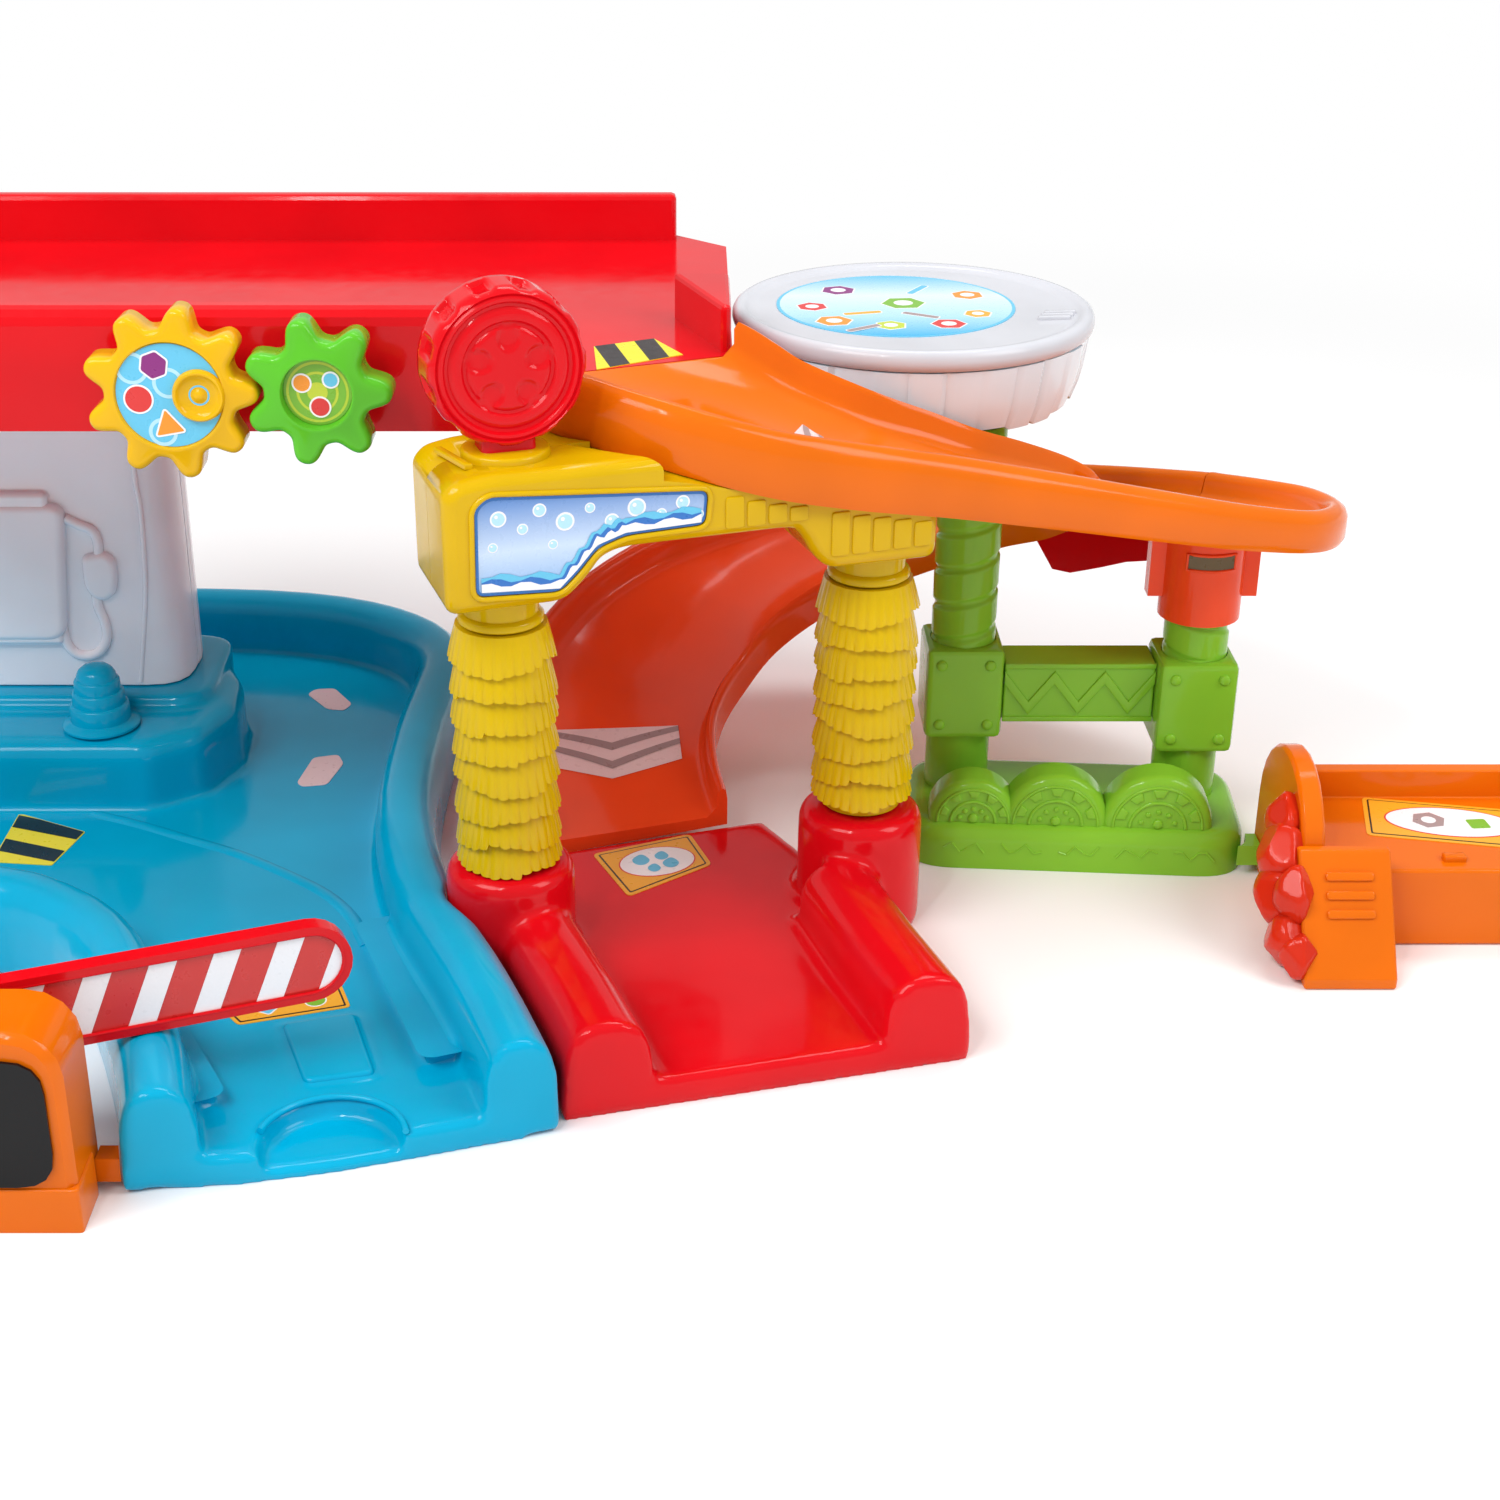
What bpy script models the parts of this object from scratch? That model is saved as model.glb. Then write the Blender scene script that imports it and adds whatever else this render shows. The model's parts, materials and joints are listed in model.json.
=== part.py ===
"""Toy parking garage: decks, spiral ramp, car wash arch, gears, barrier, workshop stand and lift.

Units are metres and +Z is up. The origin is on the ground under the car wash arch.
"""

import math

import bmesh
import bpy
from mathutils import Matrix, Vector

# Fits
GAP = 0.0003
RUNNING_GAP = 0.0004
SINK = 0.0005

# Levels
FLOOR_TOP = 0.010
KERB_TOP = 0.035
DECK_BOTTOM = 0.180
DECK_TOP = 0.195

# Blue base: outer ridge of the kerb, from the right of the lane mouth round to its left
BLUE_RIDGE = (
    (-0.0505, -0.1170), (-0.0610, -0.0860), (-0.0720, -0.0570), (-0.0865, -0.0230),
    (-0.0955, 0.0060), (-0.1020, 0.0350), (-0.1055, 0.0640), (-0.1065, 0.0950),
    (-0.1060, 0.1280), (-0.1040, 0.1600), (-0.1035, 0.1850), (-0.1090, 0.2060),
    (-0.1220, 0.2230), (-0.1420, 0.2370), (-0.1700, 0.2470), (-0.2130, 0.2520),
    (-0.3000, 0.2520), (-0.3900, 0.2480), (-0.4180, 0.2300), (-0.4250, 0.1950),
    (-0.4250, 0.0600), (-0.4180, 0.0200), (-0.3900, 0.0000), (-0.3000, -0.0020),
    (-0.2420, -0.0070), (-0.2150, -0.0190), (-0.1960, -0.0370), (-0.1830, -0.0600),
    (-0.1725, -0.0860), (-0.1630, -0.1130), (-0.1550, -0.1430),
)
BLUE_FRONT = ((-0.1330, -0.1405), (-0.1050, -0.1345), (-0.0800, -0.1265))
RIDGE_STEPS = 2
KERB_HALF_WIDTH = 0.012
KERB_SHOULDER_SHARES = ((1.0, 0.0), (0.94, 0.62), (0.76, 0.85), (0.42, 0.965), (0.0, 1.0))
MOUTH_NOTCH_CENTRE = (-0.1070, -0.1310)
MOUTH_NOTCH_RADIUS = 0.0215
MOUTH_NOTCH_FLOOR = 0.0035
STRIP_HEIGHT = 0.005
STRIP_WIDTH = 0.010
STRIP_RIGHT = ((-0.1070, -0.0100), (-0.0770, -0.0905))
STRIP_LEFT = ((-0.1740, -0.0680), (-0.1490, -0.1160))
PAD_CORNERS = ((-0.1310, -0.0700), (-0.1190, -0.1030), (-0.0980, -0.0980), (-0.1090, -0.0635))
PAD_HEIGHT = 0.002
ISLAND_OUTLINE = (
    (-0.3260, 0.0840), (-0.2060, 0.0840), (-0.1870, 0.0970), (-0.1775, 0.1230),
    (-0.1800, 0.1500), (-0.1930, 0.1800), (-0.2200, 0.2000), (-0.3260, 0.2000),
)
ISLAND_TOP = 0.038
ISLAND_ROUND = 0.006
ISLAND_CORNER = 0.012
PLINTH_TOP = 0.043

# Fuel pillar
PILLAR_CENTRE = (-0.2560, 0.1500)
PILLAR_HALF_SIZE = (0.0585, 0.0225)
PILLAR_CORNER = 0.016
PILLAR_MARGIN = 0.010
PUMP_WIDTH = 0.034
PUMP_HEIGHT = 0.062
PUMP_PROUD = 0.004
PUMP_EDGE = 0.002
PUMP_CENTRE = (-0.2600, 0.0930)

# Cone on the island
CONE_CENTRE = (-0.2260, 0.1020)
CONE_PROFILE = (
    (0.0145, 0.0), (0.0145, 0.0020), (0.0110, 0.0036), (0.0100, 0.0100), (0.0090, 0.0150),
    (0.0078, 0.0195), (0.0050, 0.0238), (0.0, 0.0252),
)

# Upper deck
DECK_LEFT = -0.326
DECK_RIGHT = 0.0145
DECK_BACK = 0.2400
DECK_FRONT = 0.0245
DECK_FRONT_END = -0.0700
DECK_CORNER = 0.020
PARAPET_TOP = 0.2205
PARAPET_THICK = 0.015
PARAPET_ROUND = 0.0055
BACK_RAIL_TOP = 0.213
BACK_RAIL_THICK = 0.008
RAIL_EDGE = 0.002
WEDGE_OUTLINE = ((0.0110, 0.0650), (0.0140, 0.0664), (0.0140, 0.1120), (-0.0060, 0.1120))
WEDGE_TOP = 0.211

# Ramp: each station is the outer lane edge, the inner lane edge and the wall height share
UPPER_STATIONS = (
    ((-0.0560, 0.0340, 0.1950), (0.0146, 0.0620, 0.1950), 1.00),
    ((-0.0440, 0.0100, 0.1940), (0.0205, 0.0612, 0.1920), 1.00),
    ((-0.0250, -0.0020, 0.1905), (0.0282, 0.0610, 0.1872), 1.00),
    ((0.0000, -0.0120, 0.1855), (0.0380, 0.0615, 0.1810), 1.00),
    ((0.0280, -0.0095, 0.1770), (0.0540, 0.0615, 0.1740), 1.00),
    ((0.0550, -0.0010, 0.1700), (0.0680, 0.0630, 0.1680), 1.00),
    ((0.0860, 0.0130, 0.1620), (0.0840, 0.0670, 0.1620), 0.95),
    ((0.1200, 0.0270, 0.1525), (0.1010, 0.0720, 0.1550), 0.90),
    ((0.1550, 0.0410, 0.1425), (0.1190, 0.0850, 0.1470), 0.85),
    ((0.1900, 0.0550, 0.1330), (0.1360, 0.0970, 0.1390), 0.78),
    ((0.2170, 0.0690, 0.1265), (0.1470, 0.1030, 0.1330), 0.72),
    ((0.2310, 0.0920, 0.1220), (0.1520, 0.1090, 0.1275), 0.70),
    ((0.2280, 0.1180, 0.1180), (0.1540, 0.1160, 0.1220), 0.70),
    ((0.2170, 0.1400, 0.1135), (0.1540, 0.1230, 0.1170), 0.70),
    ((0.2020, 0.1610, 0.1090), (0.1510, 0.1300, 0.1120), 0.70),
)
LOWER_STATIONS = (
    ((0.2020, 0.1610, 0.1090), (0.1510, 0.1300, 0.1120), 0.70),
    ((0.1690, 0.1910, 0.1010), (0.1390, 0.1400, 0.1040), 0.72),
    ((0.1450, 0.2080, 0.0955), (0.1220, 0.1490, 0.0970), 0.75),
    ((0.1120, 0.2240, 0.0870), (0.1000, 0.1580, 0.0860), 0.80),
    ((0.0720, 0.2320, 0.0780), (0.0760, 0.1650, 0.0740), 0.85),
    ((0.0300, 0.2300, 0.0690), (0.0520, 0.1670, 0.0610), 0.95),
    ((-0.0100, 0.2160, 0.0595), (0.0320, 0.1610, 0.0480), 1.00),
    ((-0.0420, 0.1890, 0.0485), (0.0185, 0.1470, 0.0365), 1.00),
    ((-0.0600, 0.1530, 0.0380), (0.0100, 0.1310, 0.0295), 1.00),
    ((-0.0660, 0.1160, 0.0285), (0.0060, 0.1130, 0.0235), 1.00),
    ((-0.0630, 0.0820, 0.0200), (0.0070, 0.0930, 0.0175), 1.00),
    ((-0.0545, 0.0530, 0.0125), (0.0104, 0.0747, 0.0125), 1.00),
)
RAMP_STEPS = 6
RAMP_OUTER_WALL = 0.008
RAMP_INNER_WALL = 0.004
RAMP_SKIRT = 0.006
RAMP_FLOOR = 0.004
RAMP_OUTER_HEIGHT = 0.015
RAMP_INNER_HEIGHT = 0.0115
RAMP_FILLET = 0.004
OUTER_WALL_SHARES = (
    (1.0, 0.55), (0.84, 0.82), (0.55, 0.98), (0.30, 1.0), (0.08, 0.90), (0.0, 0.66), (-0.10, 0.25),
)
INNER_WALL_SHARES = ((0.0, 0.35), (0.0, 0.80), (0.40, 1.0), (0.85, 0.92), (1.0, 0.60))
SKIRT_TUCK_SHARE = 0.85

# Car wash arch: its own frame has U across the lane, N towards the front and Z up
ARCH_CENTRE = (-0.00025, 0.0035)
ARCH_YAW_DEG = 18.5
ARCH_FRONT = 0.024
ARCH_BACK = -0.022
ARCH_SEAM = 0.001
ARCH_LEFT = -0.086
ARCH_RIGHT = 0.078
ARCH_TOP = 0.187
ARCH_LEFT_SHOULDER = 0.181
ARCH_SHOULDER_REACH = 0.014
ARCH_CORNER = (0.004, 0.002)
ARCH_RAMP_REACH = 0.006
HEAD_UNDERSIDE = 0.1425
BEAM_CURVE_LEFT = (
    (-0.0480, 0.1430), (-0.0410, 0.1495), (-0.0360, 0.1560), (-0.0310, 0.1580), (-0.0260, 0.1585),
)
BEAM_CURVE_RIGHT = (
    (0.0240, 0.1585), (0.0285, 0.1580), (0.0315, 0.1545), (0.0350, 0.1480), (0.0400, 0.1430),
)
SIGN_OUTLINE = (
    (-0.0770, 0.1485), (-0.0500, 0.1470), (-0.0440, 0.1525), (-0.0375, 0.1600), (-0.0285, 0.1630),
    (-0.0025, 0.1636), (-0.0015, 0.1750), (-0.0720, 0.1805), (-0.0765, 0.1770),
)
SIGN_RECESS = 0.0012
SIGN_THICK = 0.0009

# Brushes and their spindles
BRUSH_OFFSET = 0.0636
BRUSH_RADIUS = 0.018
BRUSH_ROOT_RADIUS = 0.0155
BRUSH_TIERS = 8
BRUSH_BOTTOM = 0.0453
BRUSH_TOP = 0.1300
SPINDLE_RADIUS = 0.005
COLLAR_RADIUS = 0.0140

# Wheel-shaped medallion
MEDALLION_OFFSET = -0.061
MEDALLION_CENTRE_Z = 0.216
MEDALLION_RADIUS = 0.0240
MEDALLION_BACK = -0.006
MEDALLION_FRONT = 0.013
MEDALLION_EDGE = 0.0020
MEDALLION_LIP = 0.0030
MEDALLION_RIM_SHARE = 0.92
MEDALLION_FACE_SHARES = (0.74, 0.70)
MEDALLION_FACE_SINK = 0.0015
MEDALLION_STEM_SIZE = (0.0175, 0.0130)

# Wash base, in the arch frame
WASH_OUTLINE = (
    (-0.0725, 0.0934), (-0.0725, 0.0100), (-0.0600, -0.0300), (-0.0560, -0.0620),
    (0.0500, -0.0620), (0.0560, -0.0300), (0.0625, 0.0100), (0.0625, 0.1014),
)
WASH_KERB_LEFT = ((-0.0573, 0.1000), (-0.0573, 0.0600), (-0.0590, 0.0150))
WASH_KERB_RIGHT = ((0.0473, 0.1080), (0.0473, 0.0600), (0.0490, 0.0150))
WASH_KERB_HALF = 0.0150
WASH_KERB_TOP = 0.033
WASH_PLINTH_RADIUS = 0.022
WASH_PLINTH_TOP = 0.045
WASH_PLINTH_SHARES = ((1.0, 0.0), (1.0, 0.90), (0.93, 0.97), (0.80, 1.0))

# Gears on the deck front
YELLOW_CENTRE = (-0.1642, 0.1987)
GREEN_CENTRE = (-0.1178, 0.1990)
YELLOW_TEETH = 9
GREEN_TEETH = 7
YELLOW_TIP = 0.0279
YELLOW_ROOT = 0.0210
GREEN_TIP = 0.0239
GREEN_ROOT = 0.0168
TOOTH_SHARES = ((0.80, 0.0), (0.62, 0.14), (0.50, 0.45), (0.41, 0.72), (0.29, 0.90), (0.11, 1.0))
GEAR_BACK = 0.0140
GEAR_FRONT = 0.0020
GEAR_CUP_OFFSET = 0.0094
GEAR_CUP_RADIUS = 0.0074
GEAR_CUP_DEPTH = 0.003
GEAR_BORE_DEPTH = 0.0070
AXLE_RADIUS = 0.004
AXLE_FLANGE_RADIUS = 0.0085
YELLOW_INSET_RADIUS = 0.0170
GREEN_INSET_RADIUS = 0.0110
INSET_DEPTH = 0.0010
INSET_THICK = 0.0007

# Workshop stand
STAND_CORNER = (0.0805, 0.0587)
STAND_YAW_DEG = -4.3
STAND_LENGTH = 0.1257
STAND_DEPTH = 0.0640
STAND_TOP = 0.0170
STAND_ROUND = 0.010
STAND_EDGE = 0.0034
TYRE_PLACES = ((0.0245, 0.0165), (0.0550, 0.0195), (0.0925, 0.0205))
TYRE_BACK = 0.0180
TYRE_DEPTH = 0.0130
LEFT_POST_PLACE = (0.0190, 0.0405)
RIGHT_POST_PLACE = (0.1050, 0.0405)
POST_RADIUS = 0.0120
CLAMP_SIZE = (0.0290, 0.0290, 0.0360)
LEFT_CLAMP_BOTTOM = 0.0410
RIGHT_CLAMP_BOTTOM = 0.0380
CLAMP_ROUND = 0.0025
BEAM_BOTTOM = 0.0475
BEAM_HEIGHT = 0.0235
BEAM_THICK = 0.0180
SOCKET_RADIUS = 0.0150
SOCKET_BOTTOM = 0.0890
SOCKET_TOP = 0.1300
SOCKET_FIN = (0.0400, 0.0070, 0.0180)

# Round workshop platform
PLATFORM_CENTRE = (0.0820, 0.1345)
PLATFORM_RADIUS = 0.0665
PLATFORM_FOOT_RADIUS = 0.0590
PLATFORM_BOTTOM = 0.1610
PLATFORM_TOP = 0.1940
PLATFORM_LID = 0.0045
PLATFORM_LEDGE = 0.0015
PLATFORM_LID_SHARES = (0.3, 0.7)
PLATFORM_DISC_RADIUS = 0.0440
PLATFORM_DISC_CENTRE = (0.0760, 0.1385)
PLATFORM_DISC_THICK = 0.0008

# Parking bay on the right, measured along from the far end of the stand
BAY_OFF_STAND = 0.0052
BAY_WALL_THICK = 0.0085
BAY_LENGTH = 0.1105
BAY_FRONT = 0.0000
BAY_BACK = 0.0640
BAY_TOP = 0.0300
BAY_RAIL_TOP = 0.0410
BAY_RAIL_THICK = 0.0060
BAY_RAIL_INSET = 0.0020
BAY_WALL_TOP = 0.0600
BAY_FLAP_OVERHANG = 0.0025
BAY_FLAP_WIDTH = 0.0315
BAY_FLAP_FRONT = -0.0300
BAY_FLAP_TOP = 0.0400
BAY_RIB = 0.0040
BAY_EDGE = 0.0013
BAY_FLAP_EDGE = 0.0008
CLIP_SIZE = (0.0130, 0.0100, 0.0080)
CLIP_CENTRE_Y = 0.0560

# Barrier and booth
BARRIER_PIVOT = (-0.2074, -0.1256, 0.0480)
BARRIER_YAW_DEG = 21.0
BARRIER_LENGTH = 0.1100
BARRIER_WINDOW_START = 0.0075
BARRIER_HEIGHT = 0.0260
BARRIER_THICK = 0.0060
BARRIER_RIM = 0.0026
BARRIER_PANEL_SINK = 0.0013
BARRIER_PIN_RADIUS = 0.0030
BARRIER_POST_SIZE = (0.0120, 0.0100)
BARRIER_POST_TOP = 0.0600
BARRIER_FOOT_TOP = 0.0300
BOOTH_LEFT = -0.2450
BOOTH_RIGHT = -0.1750
BOOTH_FRONT = -0.1620
BOOTH_BACK = -0.1345
BOOTH_TOP = 0.0660
BOOTH_ROUND = 0.0150
BOOTH_EDGE = 0.0026
BOOTH_WINDOW = (0.0160, 0.0580)
BOOTH_WINDOW_INSET = 0.0050
BOOTH_WINDOW_THICK = 0.0010
BOOTH_WINDOW_ROUND = 0.0110
BOOTH_LINK_FRONT = -0.1425
BOOTH_LINK_BACK = -0.1355
BOOTH_LINK_HEIGHT = (0.0030, 0.0110)
BOOTH_LINK_RIGHT = -0.1600

# Lift at the far left
LIFT_COLUMN_X = -0.4060
LIFT_COLUMN_SIZE = 0.0100
LIFT_COLUMN_Y = (0.0750, 0.1750)
LIFT_TOP = 0.2400
LIFT_HEAD_HEIGHT = 0.0200
LIFT_EDGE = 0.0020
LIFT_CAR_RIGHT = -0.3275
LIFT_CAR_BOTTOM = 0.0110
LIFT_CAR_THICK = 0.0050
LIFT_CAR_WALL = 0.0200
LIFT_CAR_GUIDE = 0.0040
CRANK_RADIUS = 0.0140
CRANK_THICK = 0.0060
CRANK_BOSS = 0.0020
CRANK_KNOB_RADIUS = 0.0035
CRANK_KNOB_LENGTH = 0.0120
CRANK_KNOB_OFFSET = 0.0090

# Fineness of curves and shading
ROUND_SEGMENTS = 28
FINE_SEGMENTS = 48
KNOB_SEGMENTS = 16
ARC_STEPS = 12
CORNER_STEPS = 4
BEVEL_SEGMENTS = 2
PARAPET_SEGMENTS = 3
BEVEL_ANGLE_DEG = 40.0
SMOOTH_DEG = 32.0
RAMP_SMOOTH_DEG = 40.0
ROUGHNESS_SHARE = 0.25
CORNER_REACH_SHARE = 0.45
MITRE_SHARE = 0.5

COLOURS = {
    "blue": (0.00, 0.35, 0.58, 1.0),
    "red": (0.62, 0.012, 0.02, 1.0),
    "orange": (0.90, 0.19, 0.015, 1.0),
    "deep_orange": (0.75, 0.07, 0.01, 1.0),
    "yellow": (0.85, 0.58, 0.015, 1.0),
    "green": (0.12, 0.42, 0.03, 1.0),
    "white": (0.78, 0.80, 0.84, 1.0),
    "black": (0.01, 0.01, 0.01, 1.0),
    "sign": (0.35, 0.55, 0.85, 1.0),
}


def clear_scene():
    for item in list(bpy.data.objects):
        bpy.data.objects.remove(item, do_unlink=True)


def make_material(name, colour):
    material = bpy.data.materials.new(name)
    material.use_nodes = True
    shader = material.node_tree.nodes["Principled BSDF"]
    shader.inputs["Base Color"].default_value = colour
    shader.inputs["Roughness"].default_value = ROUGHNESS_SHARE
    material.diffuse_color = colour
    return material


def add_object(name, mesh, colour=None, smooth_deg=SMOOTH_DEG):
    item = bpy.data.objects.new(name, mesh)
    bpy.context.scene.collection.objects.link(item)
    if colour:
        mesh.materials.clear()
        mesh.materials.append(make_material(name, COLOURS[colour]))
        mesh.shade_smooth()
        mesh.set_sharp_from_angle(angle=math.radians(smooth_deg))
    return item


def mesh_from(name, points, faces):
    mesh = bpy.data.meshes.new(name)
    mesh.from_pydata([tuple(point) for point in points], [], faces)
    work = bmesh.new()
    work.from_mesh(mesh)
    bmesh.ops.recalc_face_normals(work, faces=work.faces)
    work.to_mesh(mesh)
    work.free()
    return mesh


def loft(name, rings):
    """Closed body through a list of rings that all have the same number of points."""
    count = len(rings[0])
    points = [point for ring in rings for point in ring]
    faces = [tuple(range(count)), tuple(range(len(points) - count, len(points)))]
    for row in range(len(rings) - 1):
        for k in range(count):
            after = (k + 1) % count
            low, high = row * count, (row + 1) * count
            faces.append((low + k, low + after, high + after, high + k))
    return add_object(name, mesh_from(name, points, faces))


def prism(name, outline, low, high):
    rings = [[(x, y, z) for x, y in outline] for z in (low, high)]
    return loft(name, rings)


def plate(name, outline, near, far, place):
    """Outline extruded between two distances; place(across, up, distance) gives the point."""
    rings = [[place(a, b, depth) for a, b in outline] for depth in (near, far)]
    return loft(name, rings)


def turned(name, profile, centre=(0.0, 0.0, 0.0), segments=ROUND_SEGMENTS, turn=Matrix.Identity(3)):
    """Body of revolution about its own Z; the profile lists radius and height from the bottom."""
    points, rows = [], []
    for radius, height in profile:
        if radius <= 0:
            rows.append([len(points)])
            points.append(Vector((0.0, 0.0, height)))
            continue
        row = []
        for k in range(segments):
            angle = math.tau * k / segments
            row.append(len(points))
            points.append(Vector((radius * math.cos(angle), radius * math.sin(angle), height)))
        rows.append(row)
    faces = []
    for first, second in zip(rows[:-1], rows[1:]):
        for k in range(segments):
            after = (k + 1) % segments
            if len(first) == 1:
                faces.append((first[0], second[k], second[after]))
            elif len(second) == 1:
                faces.append((first[k], first[after], second[0]))
            else:
                faces.append((first[k], first[after], second[after], second[k]))
    for row in (rows[0], rows[-1]):
        if len(row) > 1:
            faces.append(tuple(row))
    placed = [turn @ point + Vector(centre) for point in points]
    return add_object(name, mesh_from(name, placed, faces))


def block(name, low, high):
    outline = ((low[0], low[1]), (high[0], low[1]), (high[0], high[1]), (low[0], high[1]))
    return prism(name, outline, low[2], high[2])


def bevelled(item, width, segments=BEVEL_SEGMENTS):
    bevel = item.modifiers.new("soft_edges", "BEVEL")
    bevel.width = width
    bevel.segments = segments
    bevel.limit_method = "ANGLE"
    bevel.angle_limit = math.radians(BEVEL_ANGLE_DEG)
    bevel.use_clamp_overlap = True
    return settle(item)


def settle(item):
    """Write the modifiers into the mesh."""
    graph = bpy.context.evaluated_depsgraph_get()
    mesh = bpy.data.meshes.new_from_object(item.evaluated_get(graph))
    item.modifiers.clear()
    item.data = mesh
    return item


def combined(item, others, operation="UNION"):
    for other in others:
        step = item.modifiers.new(operation.lower(), "BOOLEAN")
        step.operation = operation
        step.solver = "EXACT"
        step.object = other
        settle(item)
        bpy.data.objects.remove(other, do_unlink=True)
    return item


def named(item, name, colour, smooth_deg=SMOOTH_DEG):
    """Give a finished body its own name, material and shading."""
    item.name = name
    mesh = item.data
    mesh.name = name
    mesh.materials.clear()
    mesh.materials.append(make_material(name, COLOURS[colour]))
    for polygon in mesh.polygons:
        polygon.material_index = 0
    mesh.shade_smooth()
    mesh.set_sharp_from_angle(angle=math.radians(smooth_deg))
    return item


def recentre(item, origin):
    """Put the object's origin on a joint axis without moving the body."""
    item.data.transform(Matrix.Translation(-Vector(origin)))
    item.location = origin
    return item


def spline(points, steps):
    """Smooth curve through the points, with the ends kept."""
    points = [Vector(point) for point in points]
    ends = [points[0] * 2 - points[1]] + points + [points[-1] * 2 - points[-2]]
    curve = []
    for k in range(1, len(ends) - 2):
        a, b, c, d = ends[k - 1:k + 3]
        for j in range(steps):
            t = j / steps
            curve.append(0.5 * (2 * b + (c - a) * t + (2 * a - 5 * b + 4 * c - d) * t ** 2
                                + (3 * b - a - 3 * c + d) * t ** 3))
    curve.append(points[-1])
    return curve


def rounded(outline, radius, steps=CORNER_STEPS):
    """Outline with each corner turned into an arc, shorter where a side is short."""
    result = []
    count = len(outline)
    for k in range(count):
        before, here, after = (Vector(outline[(k + j) % count]) for j in (-1, 0, 1))
        to_before, to_after = (before - here), (after - here)
        angle = to_before.angle(to_after)
        reach = radius / math.tan(angle / 2)
        reach = min(reach, CORNER_REACH_SHARE * to_before.length, CORNER_REACH_SHARE * to_after.length)
        start = here + to_before.normalized() * reach
        end = here + to_after.normalized() * reach
        for j in range(steps + 1):
            t = j / steps
            point = start * (1 - t) ** 2 + here * 2 * t * (1 - t) + end * t ** 2
            result.append(tuple(point))
    return result


def grown(outline, distance):
    """Outline moved outwards by a distance; its points run counter-clockwise."""
    count = len(outline)
    result = []
    for k in range(count):
        before, here, after = (Vector(outline[(k + j) % count]) for j in (-1, 0, 1))
        first = (here - before).normalized()
        second = (after - here).normalized()
        normal_a = Vector((first.y, -first.x))
        normal_b = Vector((second.y, -second.x))
        middle = (normal_a + normal_b).normalized()
        result.append(tuple(here + middle * distance / max(middle.dot(normal_a), MITRE_SHARE)))
    return result


def kerb_sweep(name, path, half_width, foot, top):
    """Round-topped kerb along a path on the plan."""
    rings = []
    for k, point in enumerate(path):
        ahead = path[min(k + 1, len(path) - 1)] - path[max(k - 1, 0)]
        side = Vector((ahead.y, -ahead.x)).normalized()
        left = [(-share, rise) for share, rise in KERB_SHOULDER_SHARES]
        right = [(share, rise) for share, rise in KERB_SHOULDER_SHARES[-2::-1]]
        ring = []
        for share, rise in left + right:
            spot = point + side * half_width * share
            ring.append((spot.x, spot.y, foot + (top - foot) * rise))
        rings.append(ring)
    return loft(name, rings)


def arch_plan(across, forward):
    yaw = math.radians(ARCH_YAW_DEG)
    x = ARCH_CENTRE[0] + across * math.cos(yaw) + forward * math.sin(yaw)
    y = ARCH_CENTRE[1] + across * math.sin(yaw) - forward * math.cos(yaw)
    return x, y


def arch_point(across, height, forward):
    return (*arch_plan(across, forward), height)


def stand_plan(along, back):
    yaw = math.radians(STAND_YAW_DEG)
    x = STAND_CORNER[0] + along * math.cos(yaw) - back * math.sin(yaw)
    y = STAND_CORNER[1] + along * math.sin(yaw) + back * math.cos(yaw)
    return x, y


def circle(centre, radius, segments=ROUND_SEGMENTS):
    turns = [math.tau * k / segments for k in range(segments)]
    return [(centre[0] + radius * math.cos(a), centre[1] + radius * math.sin(a)) for a in turns]


def arc(centre, radius, start_deg, end_deg, steps=ARC_STEPS):
    turns = [math.radians(start_deg + (end_deg - start_deg) * k / steps) for k in range(steps + 1)]
    return [(centre[0] + radius * math.cos(a), centre[1] + radius * math.sin(a)) for a in turns]


def ramp_profile(margin=0.0, open_top=0.0, reach=0.0):
    """Section across the ramp: share of the lane from inner to outer edge, sideways step, rise."""
    if open_top:
        return [
            (0.0, -RAMP_INNER_WALL - margin, -RAMP_FLOOR - margin, 0),
            (1.0, RAMP_OUTER_WALL + margin + reach, -RAMP_SKIRT - margin, 0),
            (1.0, RAMP_OUTER_WALL + margin + reach, open_top, 0),
            (0.0, -RAMP_INNER_WALL - margin, open_top, 0),
        ]
    outer, inner = RAMP_OUTER_WALL, RAMP_INNER_WALL
    profile = [(0.0, -inner, -RAMP_FLOOR, 0), (1.0, outer * SKIRT_TUCK_SHARE, -RAMP_SKIRT, 0)]
    profile.append((1.0, outer, -RAMP_SKIRT / 2, 0))
    profile += [(1.0, outer * out, RAMP_OUTER_HEIGHT * rise, 1) for out, rise in OUTER_WALL_SHARES]
    profile += [(1.0, -RAMP_FILLET, 0.0, 0), (0.0, RAMP_FILLET, 0.0, 0)]
    profile += [(0.0, -inner * out, RAMP_INNER_HEIGHT * rise, 1) for out, rise in INNER_WALL_SHARES]
    return profile


def ramp_rings(stations, profile, steps=RAMP_STEPS):
    outer = spline([station[0] for station in stations], steps)
    inner = spline([station[1] for station in stations], steps)
    shares = spline([(station[2], 0, 0) for station in stations], steps)
    rings = []
    for far, near, share in zip(outer, inner, shares):
        sideways = Vector((far.x - near.x, far.y - near.y, 0)).normalized()
        ring = []
        for across, step, rise, is_wall in profile:
            height = rise * (share.x if is_wall or rise < 0 else 1.0)
            ring.append(near.lerp(far, across) + sideways * step + Vector((0, 0, height)))
        rings.append(ring)
    return rings


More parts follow.
